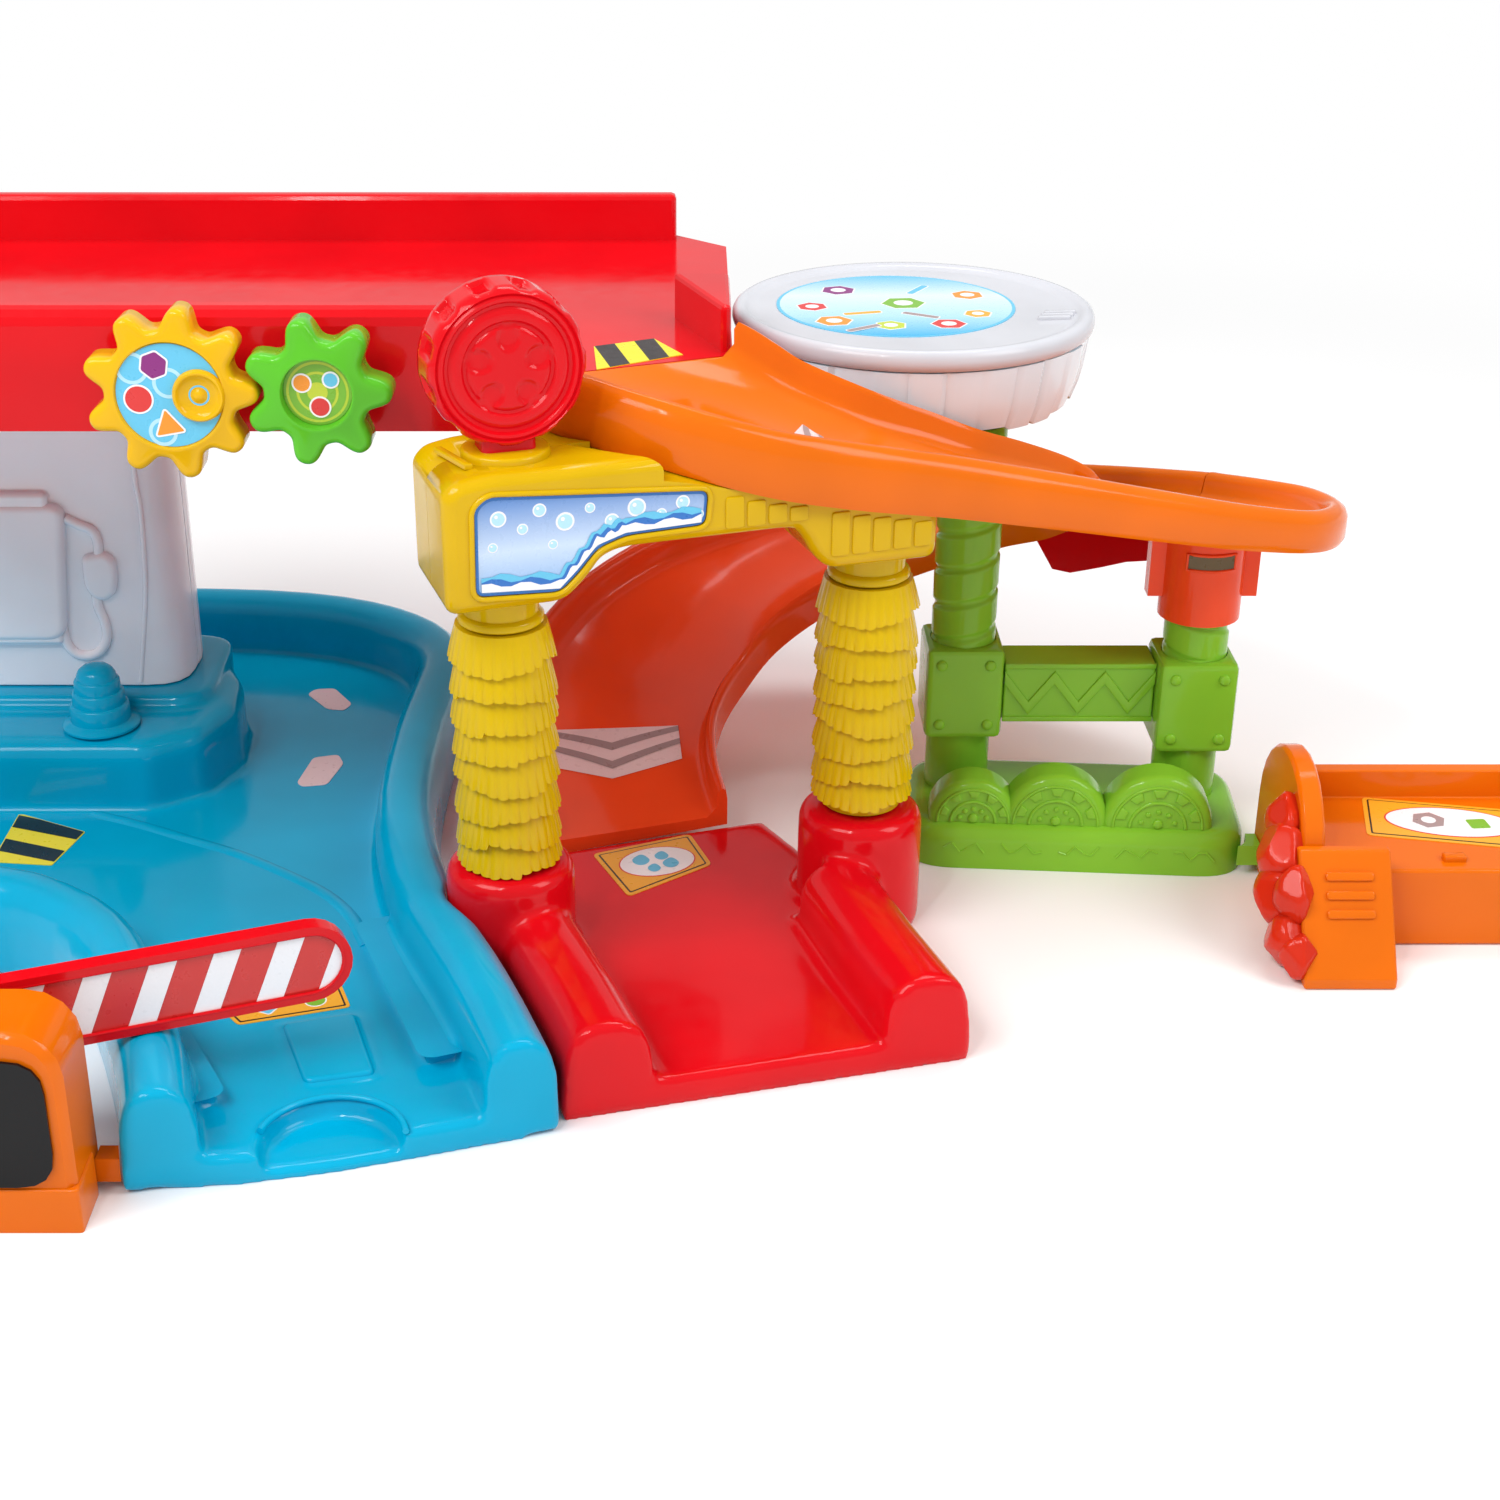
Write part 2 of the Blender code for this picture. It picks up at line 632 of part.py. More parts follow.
def ramp_clearance(name, stations, reach=0.0):
    """Space that the ramp takes with its gap, cut from whatever carries it."""
    profile = ramp_profile(GAP, RAMP_OUTER_HEIGHT * 2, reach)
    return loft(name, ramp_rings(stations, profile))


def trimmed(rings, at_start, at_end):
    """Pull the end rings back by half a gap, so that two lengths of ramp do not touch."""
    if at_start:
        step = (rings[1][0] - rings[0][0]).normalized() * GAP
        rings[0] = [point + step for point in rings[0]]
    if at_end:
        step = (rings[-2][0] - rings[-1][0]).normalized() * GAP
        rings[-1] = [point + step for point in rings[-1]]
    return rings


def wash_footprint(distance):
    outline = [arch_plan(*point) for point in WASH_OUTLINE]
    return grown(outline, distance)


def blue_ridge():
    ridge = spline([(x, y, 0.0) for x, y in BLUE_RIDGE], RIDGE_STEPS)
    return [Vector((point.x, point.y)) for point in ridge]


def build_blue_base():
    ridge = blue_ridge()
    outline = [tuple(point) for point in ridge] + list(BLUE_FRONT)
    base = prism("blue_floor", outline, 0.0, FLOOR_TOP)
    parts = [kerb_sweep("kerb", ridge, KERB_HALF_WIDTH, SINK, KERB_TOP)]
    for start, end in (STRIP_RIGHT, STRIP_LEFT):
        start, end = Vector(start), Vector(end)
        side = Vector((end.y - start.y, start.x - end.x)).normalized() * STRIP_WIDTH / 2
        corners = [tuple(start + side), tuple(start - side), tuple(end - side), tuple(end + side)]
        parts.append(prism("strip", corners, FLOOR_TOP / 2, FLOOR_TOP + STRIP_HEIGHT))
    parts.append(prism("pad", PAD_CORNERS, FLOOR_TOP / 2, FLOOR_TOP + PAD_HEIGHT))
    island = prism("island", rounded(ISLAND_OUTLINE, ISLAND_CORNER), FLOOR_TOP / 2, ISLAND_TOP)
    parts.append(bevelled(island, ISLAND_ROUND))
    parts.append(prism("plinth", pillar_outline(PILLAR_MARGIN), ISLAND_TOP / 2, PLINTH_TOP))
    combined(base, parts)
    notch = prism("notch", circle(MOUTH_NOTCH_CENTRE, MOUTH_NOTCH_RADIUS), MOUTH_NOTCH_FLOOR, KERB_TOP)
    cuts = [notch, prism("wash_room", wash_footprint(GAP), -FLOOR_TOP, KERB_TOP * 2)]
    for side in (-BRUSH_OFFSET, BRUSH_OFFSET):
        room = circle(arch_plan(side, 0.0), WASH_PLINTH_RADIUS + GAP)
        cuts.append(prism("plinth_room", room, -FLOOR_TOP, KERB_TOP * 2))
    combined(base, cuts, "DIFFERENCE")
    return named(base, "blue_base", "blue")


def pillar_outline(margin=0.0):
    cx, cy = PILLAR_CENTRE
    hx, hy = PILLAR_HALF_SIZE[0] + margin, PILLAR_HALF_SIZE[1] + margin
    corners = ((cx - hx, cy - hy), (cx + hx, cy - hy), (cx + hx, cy + hy), (cx - hx, cy + hy))
    return rounded(corners, PILLAR_CORNER)


def build_pillar():
    cx, cy = PILLAR_CENTRE
    foot, head = PLINTH_TOP + GAP, DECK_BOTTOM - GAP
    reach = PILLAR_HALF_SIZE[0] * 2
    rear = prism("pillar_rear", pillar_outline(), foot, head)
    front = prism("pillar_front", pillar_outline(), foot, head)
    low, high = (cx - reach, cy - reach, 0.0), (cx + reach, cy + GAP / 2, DECK_TOP)
    combined(rear, [block("front_half", low, high)], "DIFFERENCE")
    low, high = (cx - reach, cy - GAP / 2, 0.0), (cx + reach, cy + reach, DECK_TOP)
    combined(front, [block("rear_half", low, high)], "DIFFERENCE")
    face = cy - PILLAR_HALF_SIZE[1]
    px, pz = PUMP_CENTRE
    low = (px - PUMP_WIDTH / 2, face - PUMP_PROUD, pz - PUMP_HEIGHT / 2)
    high = (px + PUMP_WIDTH / 2, face + PUMP_PROUD, pz + PUMP_HEIGHT / 2)
    combined(front, [bevelled(block("pump", low, high), PUMP_EDGE)])
    named(front, "pillar_front_shell", "white")
    named(rear, "pillar_rear_shell", "white")


def build_cone():
    centre = (*CONE_CENTRE, ISLAND_TOP + GAP)
    named(turned("cone", CONE_PROFILE, centre), "traffic_cone", "blue")


def exit_edge():
    """Ends of the deck edge that the ramp starts from, one gap behind the ramp."""
    outer, inner = Vector(UPPER_STATIONS[0][0]).xy, Vector(UPPER_STATIONS[0][1]).xy
    along = (outer - inner).normalized()
    behind = Vector((along.y, -along.x)) * GAP
    left = outer + along * RAMP_OUTER_WALL + behind
    start = inner + behind
    right = start + along * (DECK_RIGHT - start.x) / along.x
    return left, right


def build_deck():
    left, right = exit_edge()
    corner = DECK_BACK - DECK_CORNER
    outline = [
        (DECK_LEFT, DECK_FRONT), (DECK_FRONT_END, DECK_FRONT), (left.x, left.y), (right.x, right.y),
        (DECK_RIGHT, corner), (DECK_RIGHT - DECK_CORNER, DECK_BACK), (DECK_LEFT, DECK_BACK),
    ]
    deck = prism("deck", outline, DECK_BOTTOM, DECK_TOP)
    inner_face = DECK_FRONT + PARAPET_THICK
    front = block("parapet", (DECK_LEFT + SINK, DECK_FRONT, DECK_BOTTOM + SINK),
                  (DECK_FRONT_END, inner_face, PARAPET_TOP))
    back_low = (DECK_LEFT + SINK, DECK_BACK - BACK_RAIL_THICK - SINK, DECK_BOTTOM + SINK)
    back_high = (DECK_RIGHT - DECK_CORNER, DECK_BACK - SINK, BACK_RAIL_TOP)
    back = block("back_rail", back_low, back_high)
    wedge = prism("wedge", WEDGE_OUTLINE, DECK_BOTTOM + SINK, WEDGE_TOP)
    combined(deck, [bevelled(front, PARAPET_ROUND, PARAPET_SEGMENTS), bevelled(back, RAIL_EDGE),
                    bevelled(wedge, RAIL_EDGE)])
    return named(deck, "upper_deck", "red")


def build_ramps():
    profile = ramp_profile()
    upper = loft("upper", trimmed(ramp_rings(UPPER_STATIONS, profile), True, True))
    lower = loft("lower", trimmed(ramp_rings(LOWER_STATIONS, profile), True, True))
    named(upper, "upper_ramp", "orange", RAMP_SMOOTH_DEG)
    named(lower, "lower_ramp", "deep_orange", RAMP_SMOOTH_DEG)


def arch_outline():
    outline = [(ARCH_LEFT, HEAD_UNDERSIDE)]
    outline += list(BEAM_CURVE_LEFT) + list(BEAM_CURVE_RIGHT)
    across, down = ARCH_CORNER
    outline += [(ARCH_RIGHT, HEAD_UNDERSIDE), (ARCH_RIGHT, ARCH_TOP)]
    outline += [(ARCH_LEFT + ARCH_SHOULDER_REACH, ARCH_TOP), (ARCH_LEFT + across, ARCH_TOP - down)]
    outline += [(ARCH_LEFT, ARCH_LEFT_SHOULDER)]
    return outline


def build_arch():
    front = plate("arch_front", arch_outline(), ARCH_SEAM + GAP / 2, ARCH_FRONT, arch_point)
    rear = plate("arch_rear", arch_outline(), ARCH_BACK, ARCH_SEAM - GAP / 2, arch_point)
    depth = ARCH_FRONT - SIGN_RECESS
    recess = plate("recess", grown(SIGN_OUTLINE, GAP), depth, ARCH_FRONT + SIGN_RECESS, arch_point)
    combined(front, [ramp_clearance("room", UPPER_STATIONS, ARCH_RAMP_REACH), recess], "DIFFERENCE")
    combined(rear, [ramp_clearance("room", UPPER_STATIONS)], "DIFFERENCE")
    sign = plate("sign", SIGN_OUTLINE, depth + GAP, depth + GAP + SIGN_THICK, arch_point)
    named(front, "arch_front_shell", "yellow")
    named(rear, "arch_rear_shell", "yellow")
    named(sign, "wash_sign", "sign")


def build_brushes():
    for side, place in (("left", -BRUSH_OFFSET), ("right", BRUSH_OFFSET)):
        x, y = arch_plan(place, 0.0)
        collar_foot, collar_head = BRUSH_TOP + GAP, HEAD_UNDERSIDE - GAP
        foot = WASH_PLINTH_TOP + GAP
        spindle_profile = [
            (SPINDLE_RADIUS, foot), (SPINDLE_RADIUS, collar_foot), (COLLAR_RADIUS, collar_foot),
            (COLLAR_RADIUS, collar_head),
        ]
        named(turned("spindle", spindle_profile, (x, y, 0.0)), side + "_brush_spindle", "yellow")
        tier = (BRUSH_TOP - BRUSH_BOTTOM) / BRUSH_TIERS
        profile = [(SPINDLE_RADIUS + RUNNING_GAP, BRUSH_BOTTOM)]
        for k in range(BRUSH_TIERS):
            height = BRUSH_BOTTOM + tier * k
            profile += [(BRUSH_RADIUS, height), (BRUSH_ROOT_RADIUS, height + tier)]
        profile[1] = (BRUSH_ROOT_RADIUS, BRUSH_BOTTOM)
        profile.append((SPINDLE_RADIUS + RUNNING_GAP, BRUSH_TOP))
        brush = tube("brush", profile, (x, y, 0.0))
        recentre(named(brush, side + "_brush", "yellow"), (x, y, BRUSH_BOTTOM))


def tube(name, profile, centre, segments=ROUND_SEGMENTS):
    """Ring of revolution whose closed profile stays away from the axis."""
    rings = []
    for k in range(segments):
        angle = math.tau * k / segments
        rings.append([(centre[0] + r * math.cos(angle), centre[1] + r * math.sin(angle), centre[2] + z)
                      for r, z in profile])
    count = len(profile)
    points = [point for ring in rings for point in ring]
    faces = []
    for row in range(segments):
        low, high = row * count, (row + 1) % segments * count
        for k in range(count):
            after = (k + 1) % count
            faces.append((low + k, low + after, high + after, high + k))
    return add_object(name, mesh_from(name, points, faces))


def build_medallion():
    turn = Matrix.Rotation(math.radians(ARCH_YAW_DEG), 3, "Z") @ Matrix.Rotation(math.pi / 2, 3, "X")
    x, y = arch_plan(MEDALLION_OFFSET, 0.0)
    rim = MEDALLION_RADIUS * MEDALLION_RIM_SHARE
    face, floor = (MEDALLION_RADIUS * share for share in MEDALLION_FACE_SHARES)
    profile = [
        (rim, MEDALLION_BACK), (MEDALLION_RADIUS, MEDALLION_BACK + MEDALLION_EDGE),
        (MEDALLION_RADIUS, MEDALLION_FRONT - MEDALLION_LIP), (rim, MEDALLION_FRONT),
        (face, MEDALLION_FRONT), (floor, MEDALLION_FRONT - MEDALLION_FACE_SINK),
    ]
    disc = turned("disc", profile, (x, y, MEDALLION_CENTRE_Z), FINE_SEGMENTS, turn)
    half_across, half_forward = (size / 2 for size in MEDALLION_STEM_SIZE)
    middle = (MEDALLION_BACK + MEDALLION_FRONT) / 2
    corners = ((-half_across, -half_forward), (-half_across, half_forward),
               (half_across, half_forward), (half_across, -half_forward))
    plan = [arch_plan(MEDALLION_OFFSET + a, middle + b) for a, b in corners]
    stem = prism("stem", plan, ARCH_TOP + GAP, MEDALLION_CENTRE_Z - MEDALLION_RADIUS / 2)
    named(combined(disc, [stem]), "wheel_medallion", "red")


def build_wash_base():
    """Slab and kerbs cut to one footprint, so the kerbs end flush with its front face."""
    acrosses = [across for across, _ in WASH_OUTLINE]
    forwards = [forward for _, forward in WASH_OUTLINE]
    left, right = min(acrosses) - WASH_KERB_HALF, max(acrosses) + WASH_KERB_HALF
    rear, front = min(forwards) - WASH_KERB_HALF, max(forwards) + WASH_KERB_HALF
    corners = ((left, front), (left, rear), (right, rear), (right, front))
    base = prism("wash", [arch_plan(*corner) for corner in corners], 0.0, FLOOR_TOP)
    kerbs = []
    for path in (WASH_KERB_LEFT, WASH_KERB_RIGHT):
        line = [Vector(arch_plan(*point)) for point in path]
        kerbs.append(kerb_sweep("wash_kerb", line, WASH_KERB_HALF, SINK, WASH_KERB_TOP))
    combined(base, kerbs)
    footprint = prism("footprint", [arch_plan(*point) for point in WASH_OUTLINE], -FLOOR_TOP, KERB_TOP * 2)
    combined(base, [footprint], "INTERSECT")
    plinths = []
    for side in (-BRUSH_OFFSET, BRUSH_OFFSET):
        profile = [(WASH_PLINTH_RADIUS * out, WASH_PLINTH_TOP * up) for out, up in WASH_PLINTH_SHARES]
        plinths.append(turned("plinth", profile, (*arch_plan(side, 0.0), 0.0)))
    combined(base, plinths)
    return named(base, "wash_base", "red")


def gear_outline(teeth, root, tip):
    """Rounded teeth: each share is the tooth's width, of one pitch, at a share of its height."""
    pitch = math.tau / teeth
    flank = [(width * pitch / 2, root + (tip - root) * height) for width, height in TOOTH_SHARES]
    steps = [(-turn, radius) for turn, radius in flank] + flank[::-1]
    outline = []
    for k in range(teeth):
        middle = pitch * k
        outline += [(radius * math.cos(middle + turn), radius * math.sin(middle + turn))
                    for turn, radius in steps]
    return outline


def build_gears():
    gears = (
        ("yellow", YELLOW_CENTRE, YELLOW_TEETH, YELLOW_ROOT, YELLOW_TIP, YELLOW_INSET_RADIUS),
        ("green", GREEN_CENTRE, GREEN_TEETH, GREEN_ROOT, GREEN_TIP, GREEN_INSET_RADIUS),
    )
    turn = Matrix.Rotation(math.pi / 2, 3, "X")
    for colour, (cx, cz), teeth, root, tip, inset in gears:
        def place(across, up, depth, cx=cx, cz=cz):
            return (cx + across, depth, cz + up)

        gear = plate("gear", gear_outline(teeth, root, tip), GEAR_FRONT, GEAR_BACK, place)
        bore = circle((0.0, 0.0), AXLE_RADIUS + RUNNING_GAP)
        deep = GEAR_BACK - GEAR_BORE_DEPTH
        cuts = [plate("bore", bore, deep, GEAR_BACK + GAP, place)]
        inset_room = circle((0.0, 0.0), inset + GAP)
        cuts.append(plate("inset", inset_room, GEAR_FRONT - GAP, GEAR_FRONT + INSET_DEPTH, place))
        if colour == "yellow":
            cup = circle((GEAR_CUP_OFFSET, 0.0), GEAR_CUP_RADIUS)
            cuts.append(plate("cup", cup, GEAR_FRONT - GAP, GEAR_FRONT + GEAR_CUP_DEPTH, place))
        combined(gear, cuts, "DIFFERENCE")
        recentre(named(gear, colour + "_gear", colour), (cx, GEAR_BACK, cz))
        low = GEAR_FRONT + INSET_DEPTH - GAP - INSET_THICK
        disc = plate("disc", circle((0.0, 0.0), inset), low, low + INSET_THICK, place)
        if colour == "yellow":
            room = circle((GEAR_CUP_OFFSET, 0.0), GEAR_CUP_RADIUS + GAP)
            combined(disc, [plate("cup", room, -GEAR_BACK, GEAR_BACK, place)], "DIFFERENCE")
        recentre(named(disc, colour + "_gear_label", "sign"), (cx, GEAR_BACK, cz))
        profile = [
            (AXLE_FLANGE_RADIUS, GAP - DECK_FRONT), (AXLE_FLANGE_RADIUS, -GEAR_BACK - RUNNING_GAP),
            (AXLE_RADIUS, -GEAR_BACK - RUNNING_GAP), (AXLE_RADIUS, -deep - GAP),
        ]
        axle = turned("axle", profile, (cx, 0.0, cz), ROUND_SEGMENTS, turn)
        named(axle, colour + "_gear_axle", "red")


def stand_outline():
    corners = [stand_plan(a, b) for a, b in (
        (0.0, 0.0), (STAND_LENGTH, 0.0), (STAND_LENGTH, STAND_DEPTH), (0.0, STAND_DEPTH))]
    return rounded(corners, STAND_ROUND)


def build_stand():
    base = prism("stand", stand_outline(), 0.0, STAND_TOP)
    bevelled(base, STAND_EDGE)
    tyres = []
    for along, radius in TYRE_PLACES:
        half = arc((along, 0.0), radius, 0.0, 180.0)

        def place(across, up, depth):
            return (*stand_plan(across, TYRE_BACK - TYRE_DEPTH + depth), STAND_TOP - SINK + up)

        tyres.append(plate("tyre", half, 0.0, TYRE_DEPTH, place))
    combined(base, tyres)
    named(base, "stand_base", "green")
    places = (
        ("left", LEFT_POST_PLACE, PLATFORM_BOTTOM - GAP, LEFT_CLAMP_BOTTOM),
        ("right", RIGHT_POST_PLACE, SOCKET_TOP - RAMP_OUTER_HEIGHT, RIGHT_CLAMP_BOTTOM),
    )
    for side, place, top, clamp_foot in places:
        x, y = stand_plan(*place)
        post = turned("post", [(POST_RADIUS, STAND_TOP + GAP), (POST_RADIUS, top)], (x, y, 0.0))
        named(post, side + "_post", "green")
        half_x, half_y = CLAMP_SIZE[0] / 2, CLAMP_SIZE[1] / 2
        low = (x - half_x, y - half_y, clamp_foot)
        high = (x + half_x, y + half_y, clamp_foot + CLAMP_SIZE[2])
        clamp = bevelled(block("clamp", low, high), CLAMP_ROUND)
        room = prism("room", circle((x, y), POST_RADIUS + GAP), 0.0, PLATFORM_BOTTOM)
        named(combined(clamp, [room], "DIFFERENCE"), side + "_clamp", "green")
    start = stand_plan(*LEFT_POST_PLACE)
    end = stand_plan(*RIGHT_POST_PLACE)
    middle = (start[1] + end[1]) / 2
    low = (start[0] + CLAMP_SIZE[0] / 2 + GAP, middle - BEAM_THICK / 2, BEAM_BOTTOM)
    high = (end[0] - CLAMP_SIZE[0] / 2 - GAP, middle + BEAM_THICK / 2, BEAM_BOTTOM + BEAM_HEIGHT)
    named(block("beam", low, high), "stand_beam", "green")
    build_socket(*end)


def build_socket(x, y):
    """Collar on the right post, shaped on top to the ramp that it holds."""
    socket = turned("socket", [(SOCKET_RADIUS, SOCKET_BOTTOM), (SOCKET_RADIUS, SOCKET_TOP)], (x, y, 0.0))
    wide, deep, tall = SOCKET_FIN
    low = (x - wide / 2, y - deep / 2, SOCKET_TOP - RAMP_OUTER_HEIGHT - tall)
    fin = block("fin", low, (x + wide / 2, y + deep / 2, SOCKET_TOP - GAP))
    combined(socket, [fin])
    post_top = SOCKET_TOP - RAMP_OUTER_HEIGHT + GAP
    room = prism("room", circle((x, y), POST_RADIUS + GAP), 0.0, post_top)
    combined(socket, [room, ramp_clearance("ramp_room", UPPER_STATIONS)], "DIFFERENCE")
    named(socket, "ramp_socket", "deep_orange")


def build_platform():
    centre = (*PLATFORM_CENTRE, 0.0)
    lid_foot = PLATFORM_TOP - PLATFORM_LID
    body = [
        (PLATFORM_FOOT_RADIUS, PLATFORM_BOTTOM),
        (PLATFORM_RADIUS - PLATFORM_LEDGE, lid_foot - GAP),
    ]
    named(turned("platform", body, centre, FINE_SEGMENTS), "platform_body", "white")
    edge = PLATFORM_RADIUS
    lower, upper = (lid_foot + PLATFORM_LID * share for share in PLATFORM_LID_SHARES)
    lid = [
        (edge - PLATFORM_LEDGE, lid_foot), (edge, lower), (edge, upper),
        (edge - PLATFORM_LEDGE, PLATFORM_TOP),
    ]
    named(turned("lid", lid, centre, FINE_SEGMENTS), "platform_lid", "white")
    disc = circle(PLATFORM_DISC_CENTRE, PLATFORM_DISC_RADIUS, FINE_SEGMENTS)
    low = PLATFORM_TOP + GAP
    named(prism("disc", disc, low, low + PLATFORM_DISC_THICK), "platform_label", "sign")


def bay_start():
    """Left face of the bay's side wall, clear of the far end of the stand."""
    return stand_plan(STAND_LENGTH, 0.0)[0] + BAY_OFF_STAND


def build_bay():
    wall_left = bay_start()
    left = wall_left + BAY_WALL_THICK
    right = left + BAY_LENGTH
    base = block("bay", (left, BAY_FRONT, 0.0), (right, BAY_BACK, BAY_TOP))
    inset = BAY_RAIL_INSET
    rail_low = (left + inset, BAY_BACK - inset - BAY_RAIL_THICK, BAY_TOP / 2)
    rail = block("rail", rail_low, (right - inset, BAY_BACK - inset, BAY_RAIL_TOP))
    combined(bevelled(base, BAY_EDGE), [rail])
    named(base, "bay_base", "orange")
    middle, half = (BAY_FRONT + BAY_BACK) / 2, (BAY_BACK - BAY_FRONT) / 2
    rise = BAY_WALL_TOP - BAY_TOP
    hump = [(middle + half * along, BAY_TOP + rise * up) for along, up in arc((0.0, 0.0), 1.0, 0.0, 180.0)]
    outline = [(BAY_FRONT, 0.0), (BAY_BACK, 0.0)] + hump
    wall = plate("wall", outline, wall_left, left - GAP, lambda a, b, d: (d, a, b))
    named(bevelled(wall, BAY_EDGE), "bay_side_wall", "orange")
    slope = [
        (BAY_FRONT - GAP, 0.0), (BAY_FRONT - GAP, BAY_FLAP_TOP), (BAY_FRONT - BAY_RIB, BAY_FLAP_TOP),
        (BAY_FLAP_FRONT, BAY_RIB), (BAY_FLAP_FRONT, 0.0),
    ]
    flap_left = wall_left - BAY_FLAP_OVERHANG
    flap = plate("flap", slope, flap_left, flap_left + BAY_FLAP_WIDTH, lambda a, b, d: (d, a, b))
    named(bevelled(flap, BAY_FLAP_EDGE), "bay_flap", "orange")


def build_clip():
    """Link between the stand and the bay, shaped to the end of the stand."""
    long, wide, tall = CLIP_SIZE
    foot = (STAND_TOP - tall) / 2
    end = bay_start() - GAP
    low = (end - long, CLIP_CENTRE_Y - wide / 2, foot)
    high = (end, CLIP_CENTRE_Y + wide / 2, foot + tall)
    room = prism("room", grown(stand_outline(), GAP), 0.0, STAND_TOP)
    named(combined(block("clip", low, high), [room], "DIFFERENCE"), "link_clip", "green")


def build_barrier():
    px, _, pz = BARRIER_PIVOT
    yaw = math.radians(BARRIER_YAW_DEG)
    along = Vector((math.cos(yaw), math.sin(yaw), 0))
    front = Vector((math.sin(yaw), -math.cos(yaw), 0))

    def place(across, up, depth):
        return tuple(Vector(BARRIER_PIVOT) + along * across + front * depth + Vector((0, 0, up)))

    half = BARRIER_HEIGHT / 2
    straight = BARRIER_LENGTH - half
    outline = arc((straight, 0.0), half, -90.0, 90.0) + arc((0.0, 0.0), half, 90.0, 270.0)
    thick = BARRIER_THICK / 2
    frame = plate("frame", outline, -thick, thick, place)
    inner = half - BARRIER_RIM
    start = BARRIER_WINDOW_START
    window = [(start, -inner)] + arc((straight, 0.0), inner, -90.0, 90.0) + [(start, inner)]
    bore = circle((0.0, 0.0), BARRIER_PIN_RADIUS + RUNNING_GAP)
    cuts = [plate("window", window, -thick * 2, thick * 2, place),
            plate("bore", bore, -thick * 2, thick * 2, place)]
    combined(frame, cuts, "DIFFERENCE")
    recentre(named(frame, "barrier_arm", "red"), BARRIER_PIVOT)
    flat = thick - BARRIER_PANEL_SINK
    panel = plate("panel", grown(window, -GAP), -flat, flat, place)
    recentre(named(panel, "barrier_panel", "white"), BARRIER_PIVOT)
    wide, deep = BARRIER_POST_SIZE
    back = -thick - RUNNING_GAP
    foot, head = FLOOR_TOP + GAP - pz, BARRIER_POST_TOP - pz
    outline = [(-wide / 2, foot), (wide / 2, foot), (wide / 2, head), (-wide / 2, head)]
    post = plate("post", outline, back - deep, back, place)
    pin = circle((0.0, 0.0), BARRIER_PIN_RADIUS)
    middle_x, back_y, _ = place(0.0, 0.0, back - deep)
    foot_low = (middle_x - wide / 2, BOOTH_BACK + GAP, 0.0)
    foot_high = (middle_x + wide / 2, back_y, BARRIER_FOOT_TOP)
    combined(post, [plate("pin", pin, back - deep / 2, thick + BARRIER_RIM, place),
                    block("foot", foot_low, foot_high)])
    named(post, "barrier_post", "orange")


def build_booth():
    height = BOOTH_TOP - BOOTH_ROUND
    outline = [(BOOTH_LEFT, 0.0), (BOOTH_RIGHT, 0.0)]
    outline += arc((BOOTH_RIGHT - BOOTH_ROUND, height), BOOTH_ROUND, 0.0, 90.0, CORNER_STEPS)
    outline += arc((BOOTH_LEFT + BOOTH_ROUND, height), BOOTH_ROUND, 90.0, 180.0, CORNER_STEPS)
    shell = plate("booth", outline, BOOTH_FRONT, BOOTH_BACK, lambda a, b, d: (a, d, b))
    named(bevelled(shell, BOOTH_EDGE), "booth_shell", "orange")
    low, high = BOOTH_WINDOW
    middle = (BOOTH_LEFT + BOOTH_RIGHT) / 2
    half = (BOOTH_RIGHT - BOOTH_LEFT) / 2 - BOOTH_WINDOW_INSET
    pane = [(middle - half, low), (middle + half, low), (middle + half, high), (middle - half, high)]
    face = BOOTH_FRONT - GAP
    window = plate("window", rounded(pane, BOOTH_WINDOW_ROUND), face - BOOTH_WINDOW_THICK, face,
                   lambda a, b, d: (a, d, b))
    named(window, "booth_window", "black")
    low = (BOOTH_RIGHT + GAP, BOOTH_LINK_FRONT, BOOTH_LINK_HEIGHT[0])
    high = (BOOTH_LINK_RIGHT, BOOTH_LINK_BACK, BOOTH_LINK_HEIGHT[1])
    ridge = blue_ridge()
    room = kerb_sweep("room", ridge[len(ridge) // 2:], KERB_HALF_WIDTH + GAP, 0.0, KERB_TOP)
    named(combined(block("link", low, high), [room], "DIFFERENCE"), "booth_link", "orange")


def build_lift():
    half = LIFT_COLUMN_SIZE / 2
    for side, y in zip(("front", "rear"), LIFT_COLUMN_Y):
        low = (LIFT_COLUMN_X - half, y - half, FLOOR_TOP + GAP)
        high = (LIFT_COLUMN_X + half, y + half, LIFT_TOP - GAP)
        named(block("column", low, high), "lift_column_" + side, "red")
    low = (LIFT_COLUMN_X - half * 2, LIFT_COLUMN_Y[0] - half * 2, LIFT_TOP)
    high = (LIFT_COLUMN_X + half * 2, LIFT_COLUMN_Y[1] + half * 2, LIFT_TOP + LIFT_HEAD_HEIGHT)
    named(bevelled(block("head", low, high), LIFT_EDGE), "lift_head", "red")
    build_lift_car(half)
    build_crank(half)


